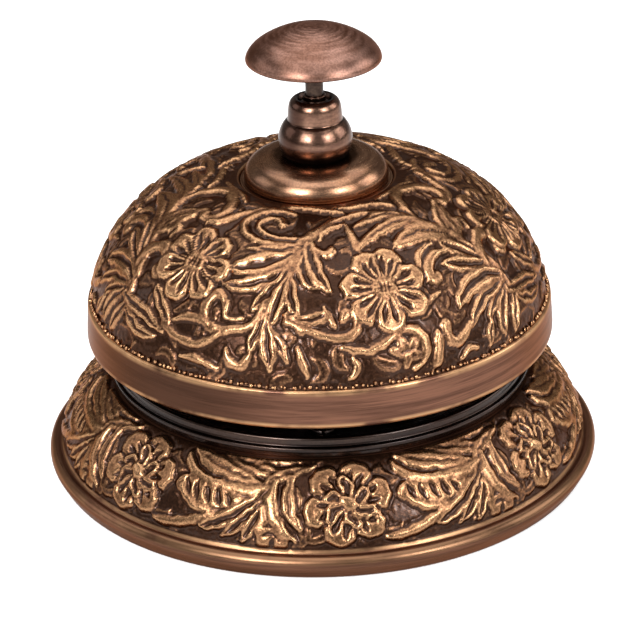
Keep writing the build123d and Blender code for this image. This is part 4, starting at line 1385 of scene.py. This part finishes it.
def makeFloor():
    # pale paper, just under the bell, not seen from below
    half = studio["floorHalf"] / mm
    corners = [(x * half, y * half, -0.05) for x, y in ((-1, -1), (1, -1), (1, 1), (-1, 1))]
    floor = objectFrom("floor", corners, [(0, 1, 2, 3)], False)
    material, tree, shader, _ = startMaterial("paleFloor")
    cameraRay = newNode(tree, "ShaderNodeLightPath").outputs["Is Camera Ray"]
    behind = newNode(tree, "ShaderNodeNewGeometry").outputs["Backfacing"]
    setShader(
        tree, shader,
        {
            "Base Color": studio["floorColor"], "Roughness": 0.6, "Emission Color": (1, 1, 1),
            "Emission Strength": mathNode(tree, "MULTIPLY", cameraRay, studio["floorGlow"]),
            "Alpha": mathNode(tree, "SUBTRACT", 1.0, behind),
        },
    )
    floor.data.materials.append(material)


def softBox(name, place, aim, size, power):
    data = bpy.data.lights.new(name, "AREA")
    data.shape = "RECTANGLE"
    data.size, data.size_y = size
    data.energy = power
    lamp = bpy.data.objects.new(name, data)
    lamp.location = place
    lamp.rotation_mode = "QUATERNION"
    lamp.rotation_quaternion = (Vector(aim) - Vector(place)).to_track_quat("-Z", "Y")
    bpy.context.scene.collection.objects.link(lamp)


makeFloor()
softBox("keyLeft", (-0.40, -0.64, 0.50), (0, 0, 0.03), (0.5, 0.5), 4.6)
softBox("keyRight", (0.56, -0.56, 0.45), (0, 0, 0.03), (0.5, 0.5), 3.8)
softBox("coreLeft", (-0.32, -0.66, 0.42), (0, 0, 0.03), (0.13, 0.13), 2.9)
softBox("coreRight", (0.50, -0.56, 0.42), (0, 0, 0.03), (0.13, 0.13), 1.2)
softBox("sideLeft", (-0.85, 0.15, 0.42), (0, 0, 0.03), (0.5, 0.5), 1.2)
softBox("sideRight", (0.85, 0.1, 0.42), (0, 0, 0.03), (0.5, 0.5), 2.8)
softBox("topLight", (0.0, 0.1, 0.95), (0, 0, 0.04), (1.3, 1.3), 11)

world = bpy.data.worlds.new("studioWorld")
bpy.context.scene.world = world
world.use_nodes = True
sky = world.node_tree.nodes["Background"]
cameraRay = newNode(world.node_tree, "ShaderNodeLightPath").outputs["Is Camera Ray"]
lift = mathNode(world.node_tree, "MULTIPLY", cameraRay, studio["seen"] - studio["around"])
feed(world.node_tree, sky.inputs["Color"], (1, 1, 1))
feed(world.node_tree, sky.inputs["Strength"], mathNode(world.node_tree, "ADD", lift, studio["around"]))
print("floor and lights made")

view = {"elevation": 25.0, "distance": 0.5935, "aim": (-0.0019, 0, 0.03056), "lens": 173.3, "roll": -1.45}
camera = bpy.data.objects.new("camera", bpy.data.cameras.new("camera"))
camera.data.lens = view["lens"]
camera.data.sensor_width = 36
camera.data.clip_start, camera.data.clip_end = 0.01, 20
tilt = math.radians(view["elevation"])
back = Vector((0, -math.cos(tilt), math.sin(tilt)))
camera.location = Vector(view["aim"]) + back * view["distance"]
camera.rotation_mode = "QUATERNION"
roll = Matrix.Rotation(math.radians(view["roll"]), 3, "Z").to_quaternion()
camera.rotation_quaternion = (-back).to_track_quat("-Z", "Y") @ roll
bpy.context.scene.collection.objects.link(camera)
bpy.context.scene.camera = camera
bpy.context.scene.view_settings.view_transform = "Standard"
